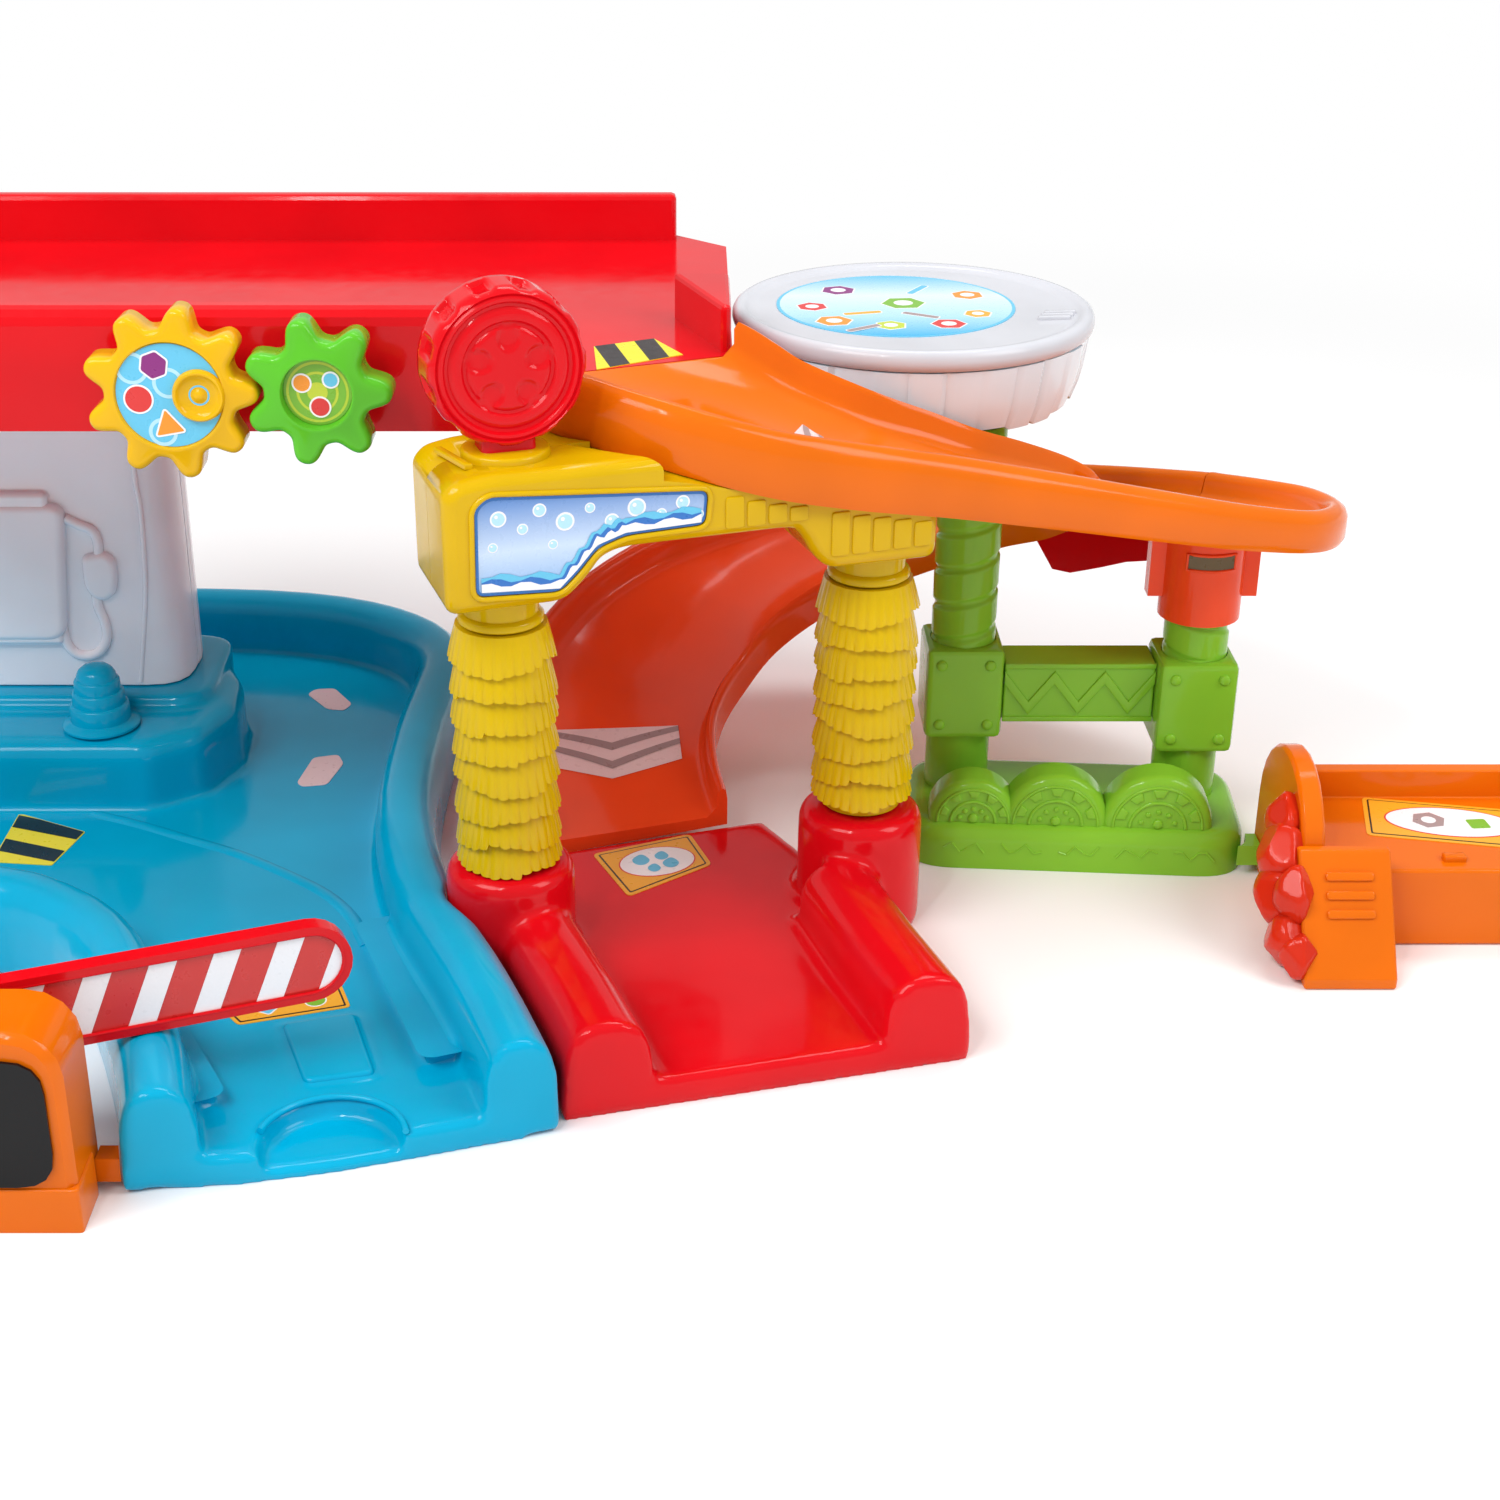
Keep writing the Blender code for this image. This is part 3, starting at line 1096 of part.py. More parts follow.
def build_lift_car(half):
    """Platform with a back wall that runs between and round the two columns."""
    inner = LIFT_COLUMN_X + half + RUNNING_GAP
    low = (inner, LIFT_COLUMN_Y[0] - half, LIFT_CAR_BOTTOM)
    high = (LIFT_CAR_RIGHT, LIFT_COLUMN_Y[1] + half, LIFT_CAR_BOTTOM + LIFT_CAR_THICK)
    car = block("car", low, high)
    wall_low = (inner, LIFT_COLUMN_Y[0] - half + SINK, LIFT_CAR_BOTTOM + SINK)
    wall_high = (inner + LIFT_CAR_GUIDE, LIFT_COLUMN_Y[1] + half - SINK, LIFT_CAR_BOTTOM + LIFT_CAR_WALL)
    tongue_low = (LIFT_COLUMN_X - half, LIFT_COLUMN_Y[0] + half + RUNNING_GAP, LIFT_CAR_BOTTOM + SINK * 2)
    tongue_high = (inner + LIFT_CAR_GUIDE / 2, LIFT_COLUMN_Y[1] - half - RUNNING_GAP,
                   LIFT_CAR_BOTTOM + LIFT_CAR_WALL - SINK)
    combined(car, [block("wall", wall_low, wall_high), block("tongue", tongue_low, tongue_high)])
    origin = (LIFT_COLUMN_X, sum(LIFT_COLUMN_Y) / 2, LIFT_CAR_BOTTOM)
    recentre(named(car, "lift_car", "blue"), origin)


def build_crank(half):
    turn = Matrix.Rotation(math.pi / 2, 3, "X")
    face = LIFT_COLUMN_Y[0] - half * 2 - GAP
    height = LIFT_TOP + LIFT_HEAD_HEIGHT / 2
    profile = [
        (AXLE_RADIUS, -face), (AXLE_RADIUS, -face + CRANK_BOSS),
        (CRANK_RADIUS, -face + CRANK_BOSS), (CRANK_RADIUS, -face + CRANK_THICK),
    ]
    crank = turned("crank", profile, (LIFT_COLUMN_X, 0.0, height), ROUND_SEGMENTS, turn)
    knob = [(CRANK_KNOB_RADIUS, -face + CRANK_THICK / 2), (CRANK_KNOB_RADIUS, -face + CRANK_KNOB_LENGTH)]
    knob_centre = (LIFT_COLUMN_X + CRANK_KNOB_OFFSET, 0.0, height)
    combined(crank, [turned("knob", knob, knob_centre, KNOB_SEGMENTS, turn)])
    recentre(named(crank, "lift_crank", "yellow"), (LIFT_COLUMN_X, face, height))


def main():
    clear_scene()
    build_blue_base()
    build_pillar()
    build_cone()
    build_deck()
    build_ramps()
    build_arch()
    build_brushes()
    build_medallion()
    build_wash_base()
    build_gears()
    build_stand()
    build_platform()
    build_bay()
    build_clip()
    build_barrier()
    build_booth()
    build_lift()


main()
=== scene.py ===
"""Looks of the toy parking garage: finishes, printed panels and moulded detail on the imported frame.

Units are metres and +Z is up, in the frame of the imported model.
"""

import json
import math

import bmesh
import bpy
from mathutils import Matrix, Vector
from mathutils.bvhtree import BVHTree


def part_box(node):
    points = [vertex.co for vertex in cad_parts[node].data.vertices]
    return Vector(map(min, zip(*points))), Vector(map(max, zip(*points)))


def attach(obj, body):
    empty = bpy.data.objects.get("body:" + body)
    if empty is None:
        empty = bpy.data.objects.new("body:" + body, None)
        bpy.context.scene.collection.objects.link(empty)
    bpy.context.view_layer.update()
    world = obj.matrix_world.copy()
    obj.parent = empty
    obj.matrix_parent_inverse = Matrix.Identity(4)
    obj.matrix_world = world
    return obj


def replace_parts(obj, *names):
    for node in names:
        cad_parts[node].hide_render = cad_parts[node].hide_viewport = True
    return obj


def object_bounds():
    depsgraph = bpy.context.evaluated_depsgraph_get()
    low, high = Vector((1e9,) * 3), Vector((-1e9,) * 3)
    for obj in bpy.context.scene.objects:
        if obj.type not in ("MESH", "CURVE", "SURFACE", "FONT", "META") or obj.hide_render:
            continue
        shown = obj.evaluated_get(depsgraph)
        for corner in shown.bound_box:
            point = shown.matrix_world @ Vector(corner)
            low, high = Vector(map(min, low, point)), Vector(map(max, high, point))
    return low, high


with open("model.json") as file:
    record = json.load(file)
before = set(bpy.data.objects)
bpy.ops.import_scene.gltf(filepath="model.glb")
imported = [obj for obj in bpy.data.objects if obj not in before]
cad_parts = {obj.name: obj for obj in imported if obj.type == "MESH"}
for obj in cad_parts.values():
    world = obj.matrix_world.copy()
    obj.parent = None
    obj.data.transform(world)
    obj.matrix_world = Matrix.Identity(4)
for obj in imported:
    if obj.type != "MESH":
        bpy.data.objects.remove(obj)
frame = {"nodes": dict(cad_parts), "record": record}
CAD_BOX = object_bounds()
ROOT = "garage"

# Camera, matched to the photograph
CAMERA_PLACE = (0.0, -0.700, 0.410)
CAMERA_TILT_DEG = 64.5
CAMERA_LENS_MM = 55.2
SENSOR_WIDTH_MM = 36.0
CAMERA_SHIFT_X = 0.04

# Light
WORLD_LIGHT = 0.55
FLOOR_SIZE = 30.0
FLOOR_FADE = (0.62, 1.15)
LAMPS = (
    ("key", (-0.75, -0.55, 1.15), (0.75, 0.55), 10.4),
    ("fill", (0.95, -0.35, 0.95), (0.50, 0.70), 6.5),
    ("top", (0.15, 0.55, 1.35), (0.90, 0.35), 6.0),
    ("strip", (-0.30, -0.70, 0.95), (0.07, 0.30), 2.0),
)
LAMP_TARGET = (-0.02, 0.08, 0.08)

# Prints
PRINT_THICK = 0.00025
PRINT_STEP = 0.00006
DRAPE_STEP = 0.00012
WELD = 0.00002

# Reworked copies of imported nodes: sharpest edge left alone, and share of the faces kept after remoulding
EDGE_LIMIT_DEG = 32.0
KEPT_SHARE = 0.30
BLUE_BASE_GRID = (0.0013, 12)
WASH_BASE_GRID = (0.0011, 26)

# Part of a noise that a tone or a roughness follows
NOISE_RANGE = (0.30, 0.70)

# Car wash arch frame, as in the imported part
ARCH_YAW_DEG = 18.5
ARCH_CENTRE = (-0.00025, 0.0035)
ARCH_FRONT = 0.024
ARCH_BACK = -0.022
ARCH_SEAM = 0.001
ARCH_ROUND = 0.0042
ARCH_STEPS = 5
ARCH_SKIN = 0.00005
ARCH_OUTLINE = (
    (-0.0860, 0.1425), (-0.0480, 0.1430), (-0.0410, 0.1495), (-0.0360, 0.1560), (-0.0310, 0.1580),
    (-0.0260, 0.1585), (0.0240, 0.1585), (0.0285, 0.1580), (0.0315, 0.1545), (0.0350, 0.1480), (0.0400, 0.1430),
    (0.0780, 0.1425), (0.0780, 0.1870), (-0.0720, 0.1870), (-0.0820, 0.1850), (-0.0860, 0.1810),
)

# Relief moulded on the blue lane
LANE_TOP = 0.010
LANE_STRIPS = (((-0.1070, -0.0100), (-0.0768, -0.0910)), ((-0.1742, -0.0676), (-0.1489, -0.1164)))
STRIP_HALF = 0.0056
STRIP_RISE = 0.0054
LANE_PAD = ((-0.1314, -0.0700), (-0.1192, -0.1034), (-0.0976, -0.0983), (-0.1088, -0.0631))
LANE_RIDGE = (
    (-0.2280, 0.0825), (-0.2067, 0.0723), (-0.1873, 0.0612), (-0.1683, 0.0504), (-0.1492, 0.0363),
    (-0.1302, 0.0193), (-0.1181, 0.0013), (-0.1109, -0.0176),
)
MOUTH_CENTRE = (-0.1070, -0.1310)
MOUTH_RADIUS = 0.0222
MOUTH_TOP = 0.0102
LANE_RIDGE_RADIUS = 0.0040
LANE_RIDGE_SINK = -0.0030

# Brushes
BRUSH_TIERS = 8
BRUSH_PLEATS = 30
BRUSH_STEPS_PER_PLEAT = 6
BRUSH_PLEATS_PER_SCALLOP = 3
BRUSH_EDGE_RADIUS = 0.0178
BRUSH_ROOT_RADIUS = 0.0150
BRUSH_PLEAT_DEPTH = 0.0006
BRUSH_TAB_STEP = 0.0005
BRUSH_OVERLAP = 0.0036
BRUSH_FRINGE = 0.0010
RIGHT_BRUSH_LIFT = 0.0040
BRUSH_ROWS = ((0.0, 0.0), (0.15, 0.18), (0.50, 0.56), (0.85, 0.90), (1.0, 1.0))
BRUSH_TUCKS = ((0.0011, 0.0), (0.0030, -0.0010))

# Ring at the head of a brush spindle: radius and drop below its top
COLLAR_PROFILE = ((0.0060, 0.0118), (0.0134, 0.0116), (0.01395, 0.0110), (0.01395, 0.0096), (0.0134, 0.0088),
                  (0.0122, 0.0082), (0.0126, 0.0))

# Wheel medallion, in the arch frame
MEDALLION_OFFSET = -0.061
MEDALLION_HEIGHT = 0.216
MEDALLION_RADIUS = 0.0248
MEDALLION_BACK = -0.006
MEDALLION_FRONT = 0.013
MEDALLION_NOTCHES = 12
MEDALLION_NOTCH_DEPTH = 0.0014
MEDALLION_STEPS_PER_NOTCH = 14
MEDALLION_DIMPLES = 5
MEDALLION_DIMPLE_SHARE = 0.38
MEDALLION_NECK = (0.0175, 0.0130)
MEDALLION_RINGS = (
    (0.90, -0.0010), (0.865, -0.0002), (0.83, -0.0003), (0.80, -0.0014), (0.76, -0.0016), (0.72, -0.0008),
    (0.68, -0.0005), (0.64, -0.0005), (0.60, -0.0006), (0.57, -0.0014), (0.53, -0.0014), (0.50, -0.0006),
    (0.46, -0.0004), (0.42, -0.0004), (0.38, -0.0004), (0.34, -0.0004), (0.30, -0.0004), (0.26, -0.0004),
    (0.22, -0.0004), (0.18, -0.0004), (0.14, -0.0004), (0.08, -0.0004),
)

# Car wash arch: printed sign and the planks moulded on the right head
SIGN_OUTLINE = (
    (-0.0770, 0.1485), (-0.0500, 0.1470), (-0.0440, 0.1525), (-0.0375, 0.1600), (-0.0285, 0.1630),
    (-0.0025, 0.1636), (-0.0015, 0.1750), (-0.0720, 0.1805), (-0.0765, 0.1770),
)
SIGN_ROUND = 0.0030
SIGN_SINK = -0.0006
FOAM_FOOT = [(-0.0750, 0.1500), (-0.0502, 0.1484), (-0.0446, 0.1538), (-0.0380, 0.1612), (-0.0287, 0.1642),
             (-0.0040, 0.1648)]
ARCH_TAB = [(-0.0815, -0.0060), (-0.0790, -0.0060), (-0.0740, 0.0140), (-0.0765, 0.0140)]
BUBBLES = (
    (-0.0690, 0.1730, 0.0026), (-0.0615, 0.1690, 0.0018), (-0.0560, 0.1745, 0.0022), (-0.0480, 0.1700, 0.0030),
    (-0.0400, 0.1735, 0.0017), (-0.0330, 0.1685, 0.0024), (-0.0250, 0.1720, 0.0030), (-0.0170, 0.1690, 0.0018),
    (-0.0100, 0.1720, 0.0023), (-0.0045, 0.1675, 0.0014), (-0.0710, 0.1640, 0.0016), (-0.0520, 0.1630, 0.0016),
)
PLANK_START = 0.004
PLANK_PITCH = 0.0072
PLANK_COUNT = 10
PLANK_SIZE = (0.0062, 0.0006)
PLANK_FEET = (0.1615, 0.1480)
PLANK_HEAD_START = 0.030
PLANK_TOP = 0.1850
PLANK_CLEAR = 0.0022

# Barrier, from its pivot
BARRIER_PIVOT = (-0.2074, -0.1256, 0.0480)
BARRIER_YAW_DEG = 21.0
BARRIER_STRAIGHT = 0.0970
BARRIER_HALF = 0.0130
BARRIER_THICK = 0.0060
BARRIER_RIM = 0.0026
BARRIER_WINDOW_START = 0.0075
BARRIER_PANEL_SINK = 0.0013
STRIPE_COUNT = 6
STRIPE_START = 0.0022
STRIPE_PITCH = 0.0193
STRIPE_WIDTH = 0.0083
STRIPE_SLANT = 0.0086

# Workshop stand and platform
STAND_CORNER = (0.0805, 0.0587)
STAND_YAW_DEG = -4.3
STAND_TOP = 0.0170
STAND_LENGTH = 0.1257
STAND_DEPTH = 0.0640
STAND_ROUND = 0.0180
STAND_EDGE = 0.0065
BEAM_ZIGS = 6
SOCKET_RADIUS = 0.0150
SOCKET_LIP = ((0.0140, 0.0), (0.01495, 0.0006), (0.01495, 0.0030), (0.0140, 0.0036))
# Slot in the ramp holder's front, drawn as a dark olive film of painted shade: its outline's start, step, foot and
# height
SLOT_START = -0.0085
SLOT_STEP = 0.0017
SLOT_FOOT = 0.0225
SLOT_TALL = 0.0048
TYRE_BACK = 0.0180
TYRE_SINK = 0.0070
TYRE_EDGE = 0.0036
TYRE_FACE = 0.0050
TYRES = ((0.0245, 0.0165), (0.0550, 0.0195), (0.0925, 0.0205))
PLATFORM_CENTRE = (0.0820, 0.1345)
SKIRT_PLANKS = 30
SKIRT_COLUMNS = 8
SKIRT_TOP_RADIUS = 0.0600
SKIRT_LEVELS = ((0.1610, 0.0590), (0.1680, 0.0615), (0.1740, 0.0628), (0.1860, 0.0645))
LID_PROFILE = (
    (0.0600, 0.1862), (0.0648, 0.1866), (0.0660, 0.1878), (0.0665, 0.1896), (0.0664, 0.1914), (0.0656, 0.1930),
    (0.0642, 0.1939), (0.0626, 0.1939), (0.0612, 0.1932), (0.0600, 0.1925), (0.0570, 0.1922),
)
LID_FLOOR = 0.1922

# Gears
TOOTH_SHARES = ((0.80, 0.0), (0.62, 0.14), (0.50, 0.45), (0.41, 0.72), (0.29, 0.90), (0.11, 1.0))
GEAR_FRONT = 0.0020
GEAR_BACK = 0.0140
GEAR_EDGE = 0.0022
GEAR_LIP = ((0.0014, 0.0), (0.0007, 0.00035), (0.0002, 0.0002), (0.0, -0.0003))
YELLOW_GEAR_SIZE = (-0.1642, 0.1987, 9, 0.0210, 0.0279, 0.0172)
GREEN_GEAR_SIZE = (-0.1178, 0.1990, 7, 0.0168, 0.0239, 0.0112)
YELLOW_RECESS = 0.0009
GREEN_RECESS = 0.0036
CUP_OFFSET = 0.0094
CUP_RADIUS = 0.0074
CUP_PROFILE = ((1.16, -0.0009), (1.12, 0.0006), (1.04, 0.0013), (0.96, 0.0012), (0.88, 0.0002),
               (0.70, -0.0004), (0.40, -0.0007), (0.28, -0.0005), (0.20, 0.0002), (0.08, 0.0005))

# Fuel pillar and the cone in front of it
PUMP_PROUD = 0.0040
PUMP_ARM = ((-0.2375, 0.1133), (-0.2327, 0.1106), (-0.2280, 0.1085), (-0.2262, 0.1040), (-0.2264, 0.0985))
PUMP_HOSE = (
    (-0.2291, 0.0821), (-0.2287, 0.0765), (-0.2270, 0.0709), (-0.2269, 0.0644), (-0.2297, 0.0588),
    (-0.2350, 0.0564), (-0.2400, 0.0578), (-0.2429, 0.0625), (-0.2437, 0.0690),
)
PUMP_HOLSTER = (
    (-0.2330, 0.0860), (-0.2305, 0.0812), (-0.2260, 0.0798), (-0.2215, 0.0822), (-0.2197, 0.0890),
    (-0.2200, 0.0967), (-0.2237, 0.1002), (-0.2330, 0.0985),
)
PUMP_TANK = ((-0.2790, 0.0640), (-0.2420, 0.0640), (-0.2368, 0.1195), (-0.2790, 0.1195))
PILLAR_SEAM = (
    (-0.2096, 0.1780), (-0.2096, 0.1310), (-0.2088, 0.1190), (-0.2090, 0.1040), (-0.2100, 0.0857),
    (-0.2124, 0.0672), (-0.2158, 0.0450),
)
CONE_PROFILE = (
    (0.0138, 0.0), (0.0146, 0.0005), (0.0146, 0.0014), (0.0138, 0.0022), (0.0120, 0.0026), (0.0114, 0.0032),
    (0.0112, 0.0088), (0.0106, 0.0096), (0.0101, 0.0098), (0.0098, 0.0140), (0.0093, 0.0148), (0.0089, 0.0150),
    (0.0086, 0.0188), (0.0081, 0.0196), (0.0077, 0.0198), (0.0074, 0.0214), (0.0064, 0.0232), (0.0046, 0.0246),
    (0.0022, 0.0252), (0.0006, 0.0252),
)

# Outlines of films on the lanes, the deck and the ramps
ROAD_DASHES = (
    ((-0.1541, 0.1085), (-0.1517, 0.1051), (-0.1421, 0.1068), (-0.1382, 0.1258), (-0.1414, 0.1339),
     (-0.1510, 0.1311)),
    ((-0.1627, 0.1934), (-0.1523, 0.1783), (-0.1449, 0.1768), (-0.1425, 0.1834), (-0.1520, 0.1994),
     (-0.1601, 0.1986)),
)
LANE_HAZARD = ((-0.2560, 0.0430), (-0.2332, 0.0404), (-0.2272, 0.0668), (-0.2560, 0.0820))
LANE_SIGN = ((-0.1460, -0.0680), (-0.1110, -0.0570), (-0.1160, -0.0430), (-0.1520, -0.0600))
WASH_FLOOR_SIGN = ((-0.0360, 0.0490), (-0.0220, 0.0170), (0.0080, 0.0410), (0.0000, 0.0650))
WASH_SIGN_MIDDLE = (-0.0120, 0.0430)
WASH_DROPS = (
    (-0.0060, 0.0010, 0.0032), (0.0015, 0.0045, 0.0026), (0.0050, -0.0010, 0.0030), (-0.0010, -0.0050, 0.0024),
)
DECK_TOP = 0.1950
DECK_HAZARD = ((-0.0310, 0.0440), (-0.0024, 0.0620), (-0.0125, 0.0820), (-0.0330, 0.0720))
LOWER_ARROW = ((-0.0570, 0.1173), (-0.0047, 0.1244), (-0.0031, 0.1059), (-0.0297, 0.0918), (-0.0560, 0.0965))
UPPER_ARROW = ((0.0275, 0.0060), (0.0374, 0.0380), (0.0500, 0.0285), (0.0580, 0.0160), (0.0410, 0.0020))

# Ramp hanger, from its front end: place, top and foot
HANGER_STATIONS = (
    (0.2046, 0.1626, 0.1030, 0.0830), (0.1920, 0.1760, 0.1000, 0.0780), (0.1800, 0.1870, 0.0970, 0.0730),
    (0.1705, 0.1936, 0.0950, 0.0680), (0.1600, 0.2020, 0.0925, 0.0625), (0.1530, 0.2065, 0.0912, 0.0625),
    (0.1461, 0.2108, 0.0895, 0.0740),
)

# Side bay: its sign, the slope of its flap, and rocks with their places from the wall and their sizes
BAY_DECK = 0.0300
BAY_SIGN = ((0.2410, 0.0260), (0.2950, 0.0150), (0.3060, 0.0440), (0.2470, 0.0560))
BAY_NUT = (0.2660, 0.0370)
FLAP_TOP = (-0.0043, 0.0400)
FLAP_TOE = (-0.0300, 0.0040)
ROCKS = (
    ((-0.0030, 0.0150, 0.0420), (0.0068, 0.0110, 0.0100)), ((-0.0050, 0.0060, 0.0330), (0.0090, 0.0120, 0.0120)),
    ((-0.0060, -0.0010, 0.0210), (0.0095, 0.0110, 0.0120)), ((-0.0040, -0.0100, 0.0250), (0.0072, 0.0090, 0.0120)),
    ((-0.0055, -0.0130, 0.0110), (0.0085, 0.0110, 0.0108)), ((-0.0035, -0.0215, 0.0090), (0.0066, 0.0085, 0.0088)),
)

# Lower ramp: past this place it is the colour of the upper ramp
RAMP_COLOUR_CHANGE = 0.085

# Posts of the workshop stand
GROOVE_PITCH = 0.0140
GROOVE_WIDTH_SHARE = 0.13
GROOVE_DEPTH = 0.0009
POST_COLUMNS = 64
POST_ROWS_PER_PITCH = 22


def srgb(red, green, blue):
    """Linear colour from the 0 to 255 values of a colour chart."""
    def linear(value):
        value /= 255
        return value / 12.92 if value <= 0.04045 else ((value + 0.055) / 1.055) ** 2.4
    return (linear(red), linear(green), linear(blue), 1.0)


def set_inputs(tree, node, values):
    """Give a shader node's inputs their values, or link them where the value is a socket."""
    for name, value in values.items():
        if isinstance(value, bpy.types.NodeSocket):
            tree.links.new(value, node.inputs[name])
        else:
            node.inputs[name].default_value = value
    return node


def added(tree, kind, **values):
    """New shader node; an underscore in an input's name stands for a space."""
    values = {name.replace("_", " "): value for name, value in values.items()}
    return set_inputs(tree, tree.nodes.new("ShaderNode" + kind), values)


def new_material(name):
    material = bpy.data.materials.new(name)
    material.use_nodes = True
    return material, material.node_tree, material.node_tree.nodes["Principled BSDF"]


def noise(tree, scale, detail=2.0):
    place = added(tree, "TexCoord").outputs["Object"]
    return added(tree, "TexNoise", Vector=place, Scale=scale, Detail=detail).outputs["Fac"]


def ranged(tree, source, low, high):
    """Value that follows a noise from low to high."""
    start, end = NOISE_RANGE
    return added(tree, "MapRange", Value=source, From_Min=start, From_Max=end, To_Min=low, To_Max=high).outputs[0]


def ramped(tree, source, stops):
    """Colour that runs through the stops as the source goes from 0 to 1."""
    node = added(tree, "ValToRGB", Fac=source)
    elements = node.color_ramp.elements
    while len(elements) < len(stops):
        elements.new(0.5)
    for element, (position, colour) in zip(elements, stops):
        element.position, element.color = position, colour
    return node.outputs["Color"]


def toned(tree, source, dark, light):
    return ramped(tree, source, tuple(zip(NOISE_RANGE, (dark, light))))


def shade(colour, share):
    return tuple(channel * share for channel in colour[:3]) + (1.0,)


def plastic(name, colour, gloss=0.13, glow=0.06):
    """Injection-moulded plastic: slight mottling, a faint orange peel and slow flow waves."""
    material, tree, shader = new_material(name)
    colour = srgb(*colour)
    waves = added(tree, "Bump", Strength=0.18, Distance=0.0008, Height=noise(tree, 38.0, 1.0))
    peel = added(tree, "Bump", Strength=0.10, Distance=0.00008, Height=noise(tree, 900.0, 1.0),
                 Normal=waves.outputs["Normal"])
    set_inputs(tree, shader, {
        "Base Color": toned(tree, noise(tree, 22.0), shade(colour, 0.93), shade(colour, 1.05)),
        "Roughness": ranged(tree, noise(tree, 160.0), gloss - 0.03, gloss + 0.05),
        "Specular IOR Level": 0.16, "Coat Weight": 0.12, "Coat Roughness": 0.03,
        "Subsurface Weight": glow, "Subsurface Radius": (1.0, 0.8, 0.7), "Subsurface Scale": 0.004,
        "Normal": peel.outputs["Normal"]})
    return material


def print_ink(name, colour, gloss=0.30):
    """Printed film: a fine grain of ink under a satin face."""
    material, tree, shader = new_material(name)
    colour = srgb(*colour)
    set_inputs(tree, shader, {
        "Base Color": toned(tree, noise(tree, 1200.0), shade(colour, 0.98), shade(colour, 1.01)),
        "Roughness": ranged(tree, noise(tree, 300.0), gloss - 0.04, gloss + 0.06)})
    return material


def gradient_ink(name, stops, axis, low, high):
    """Printed film whose colour runs along one axis of the object between two places."""
    material, tree, shader = new_material(name)
    split = added(tree, "SeparateXYZ", Vector=added(tree, "TexCoord").outputs["Object"])
    place = added(tree, "MapRange", Value=split.outputs[axis], From_Min=low, From_Max=high)
    colours = ramped(tree, place.outputs["Result"], [(share, srgb(*colour)) for share, colour in stops])
    set_inputs(tree, shader, {"Base Color": colours, "Roughness": ranged(tree, noise(tree, 300.0), 0.24, 0.34)})
    return material


BLUE = plastic("blue_moulding", (0, 164, 204))
RED = plastic("red_moulding", (214, 10, 22))
ORANGE = plastic("orange_moulding", (224, 106, 6))
DEEP_ORANGE = plastic("red_orange_moulding", (246, 80, 34), glow=0.08)
YELLOW = plastic("yellow_moulding", (208, 174, 6))
HEAD_YELLOW = plastic("yellow_head_moulding", (208, 168, 4))
YELLOW_GEAR = plastic("yellow_gear_moulding", (228, 178, 18), glow=0.08)
GREEN = plastic("green_moulding", (132, 194, 50), glow=0.08)
GREEN_GEAR = plastic("green_gear_moulding", (92, 190, 44), glow=0.08)
PALE = plastic("pale_blue_moulding", (244, 248, 255), glow=0.05)
# One white plastic in two copies: the drum's is lighter and tinted blue against the orange light bounced on its
# sides, as painted light; the tray's is greyer, as painted shade against the strong light on its top
DRUM_WHITE_PAINTED_LIGHT = plastic("white_drum_painted_light", (224, 238, 246), glow=0.05)
TRAY_WHITE_PAINTED_SHADE = plastic("white_tray_painted_shade", (202, 203, 209), glow=0.05)
# Rocks: a darker red than the orange wall they belong to, as painted shade
ROCK_SHADE_RED = plastic("rock_moulding", (204, 44, 20))
INK_SIGNAL = print_ink("ink_signal_red", (206, 44, 40))
BLACK = plastic("black_glossy_moulding", (18, 18, 20), gloss=0.10, glow=0.0)
AXLE = plastic("red_axle_moulding", (186, 20, 30))
INK_WHITE = print_ink("ink_white", (240, 238, 240))
INK_PINKISH = print_ink("ink_pinkish_white", (232, 208, 208))
INK_GREY = print_ink("ink_grey", (160, 140, 140))
INK_BLACK = print_ink("ink_black", (30, 30, 30))
INK_RED = print_ink("ink_red", (214, 48, 46))
INK_AMBER = print_ink("ink_amber", (236, 168, 40))
INK_HAZARD = print_ink("ink_hazard_yellow", (232, 220, 36))
INK_PURPLE = print_ink("ink_purple", (134, 34, 120))
INK_ORANGE = print_ink("ink_orange", (238, 146, 34))
INK_SKY = print_ink("ink_sky", (96, 190, 226))
INK_PALE_SKY = print_ink("ink_pale_sky", (176, 222, 238))
INK_LEAF = print_ink("ink_leaf", (120, 180, 44))
INK_DEEP_BLUE = print_ink("ink_deep_blue", (40, 110, 190))
# Dark olive of painted shade, for the inside of the ramp holder's slot
SLOT_SHADE_OLIVE = print_ink("shadow_olive", (92, 74, 20))
INK_SIGN = gradient_ink("ink_sign_blue", (
    (0.0, (120, 168, 220)), (0.45, (196, 216, 240)), (1.0, (58, 120, 196))), "Z", 0.147, 0.181)
INK_TRAY = gradient_ink("ink_tray_blue", (
    (0.0, (48, 172, 222)), (0.30, (170, 216, 232)), (0.65, (214, 232, 238)),
    (1.0, (90, 186, 226))), "Y", 0.096, 0.182)
INK_LIME = print_ink("ink_lime", (190, 206, 50))

# Foam at the foot of the wash sign: rise and ink
FOAM_BANDS = ((0.0052, INK_SKY), (0.0036, INK_DEEP_BLUE), (0.0022, INK_WHITE))

# Bands of an arrow on a ramp: share of the way at the sides and in the middle, half width and ink
ARROW_BANDS = ((0.5, 0.5, 0.5, INK_PINKISH), (0.09, 0.37, 0.075, INK_GREY), (0.47, 0.74, 0.075, INK_GREY))

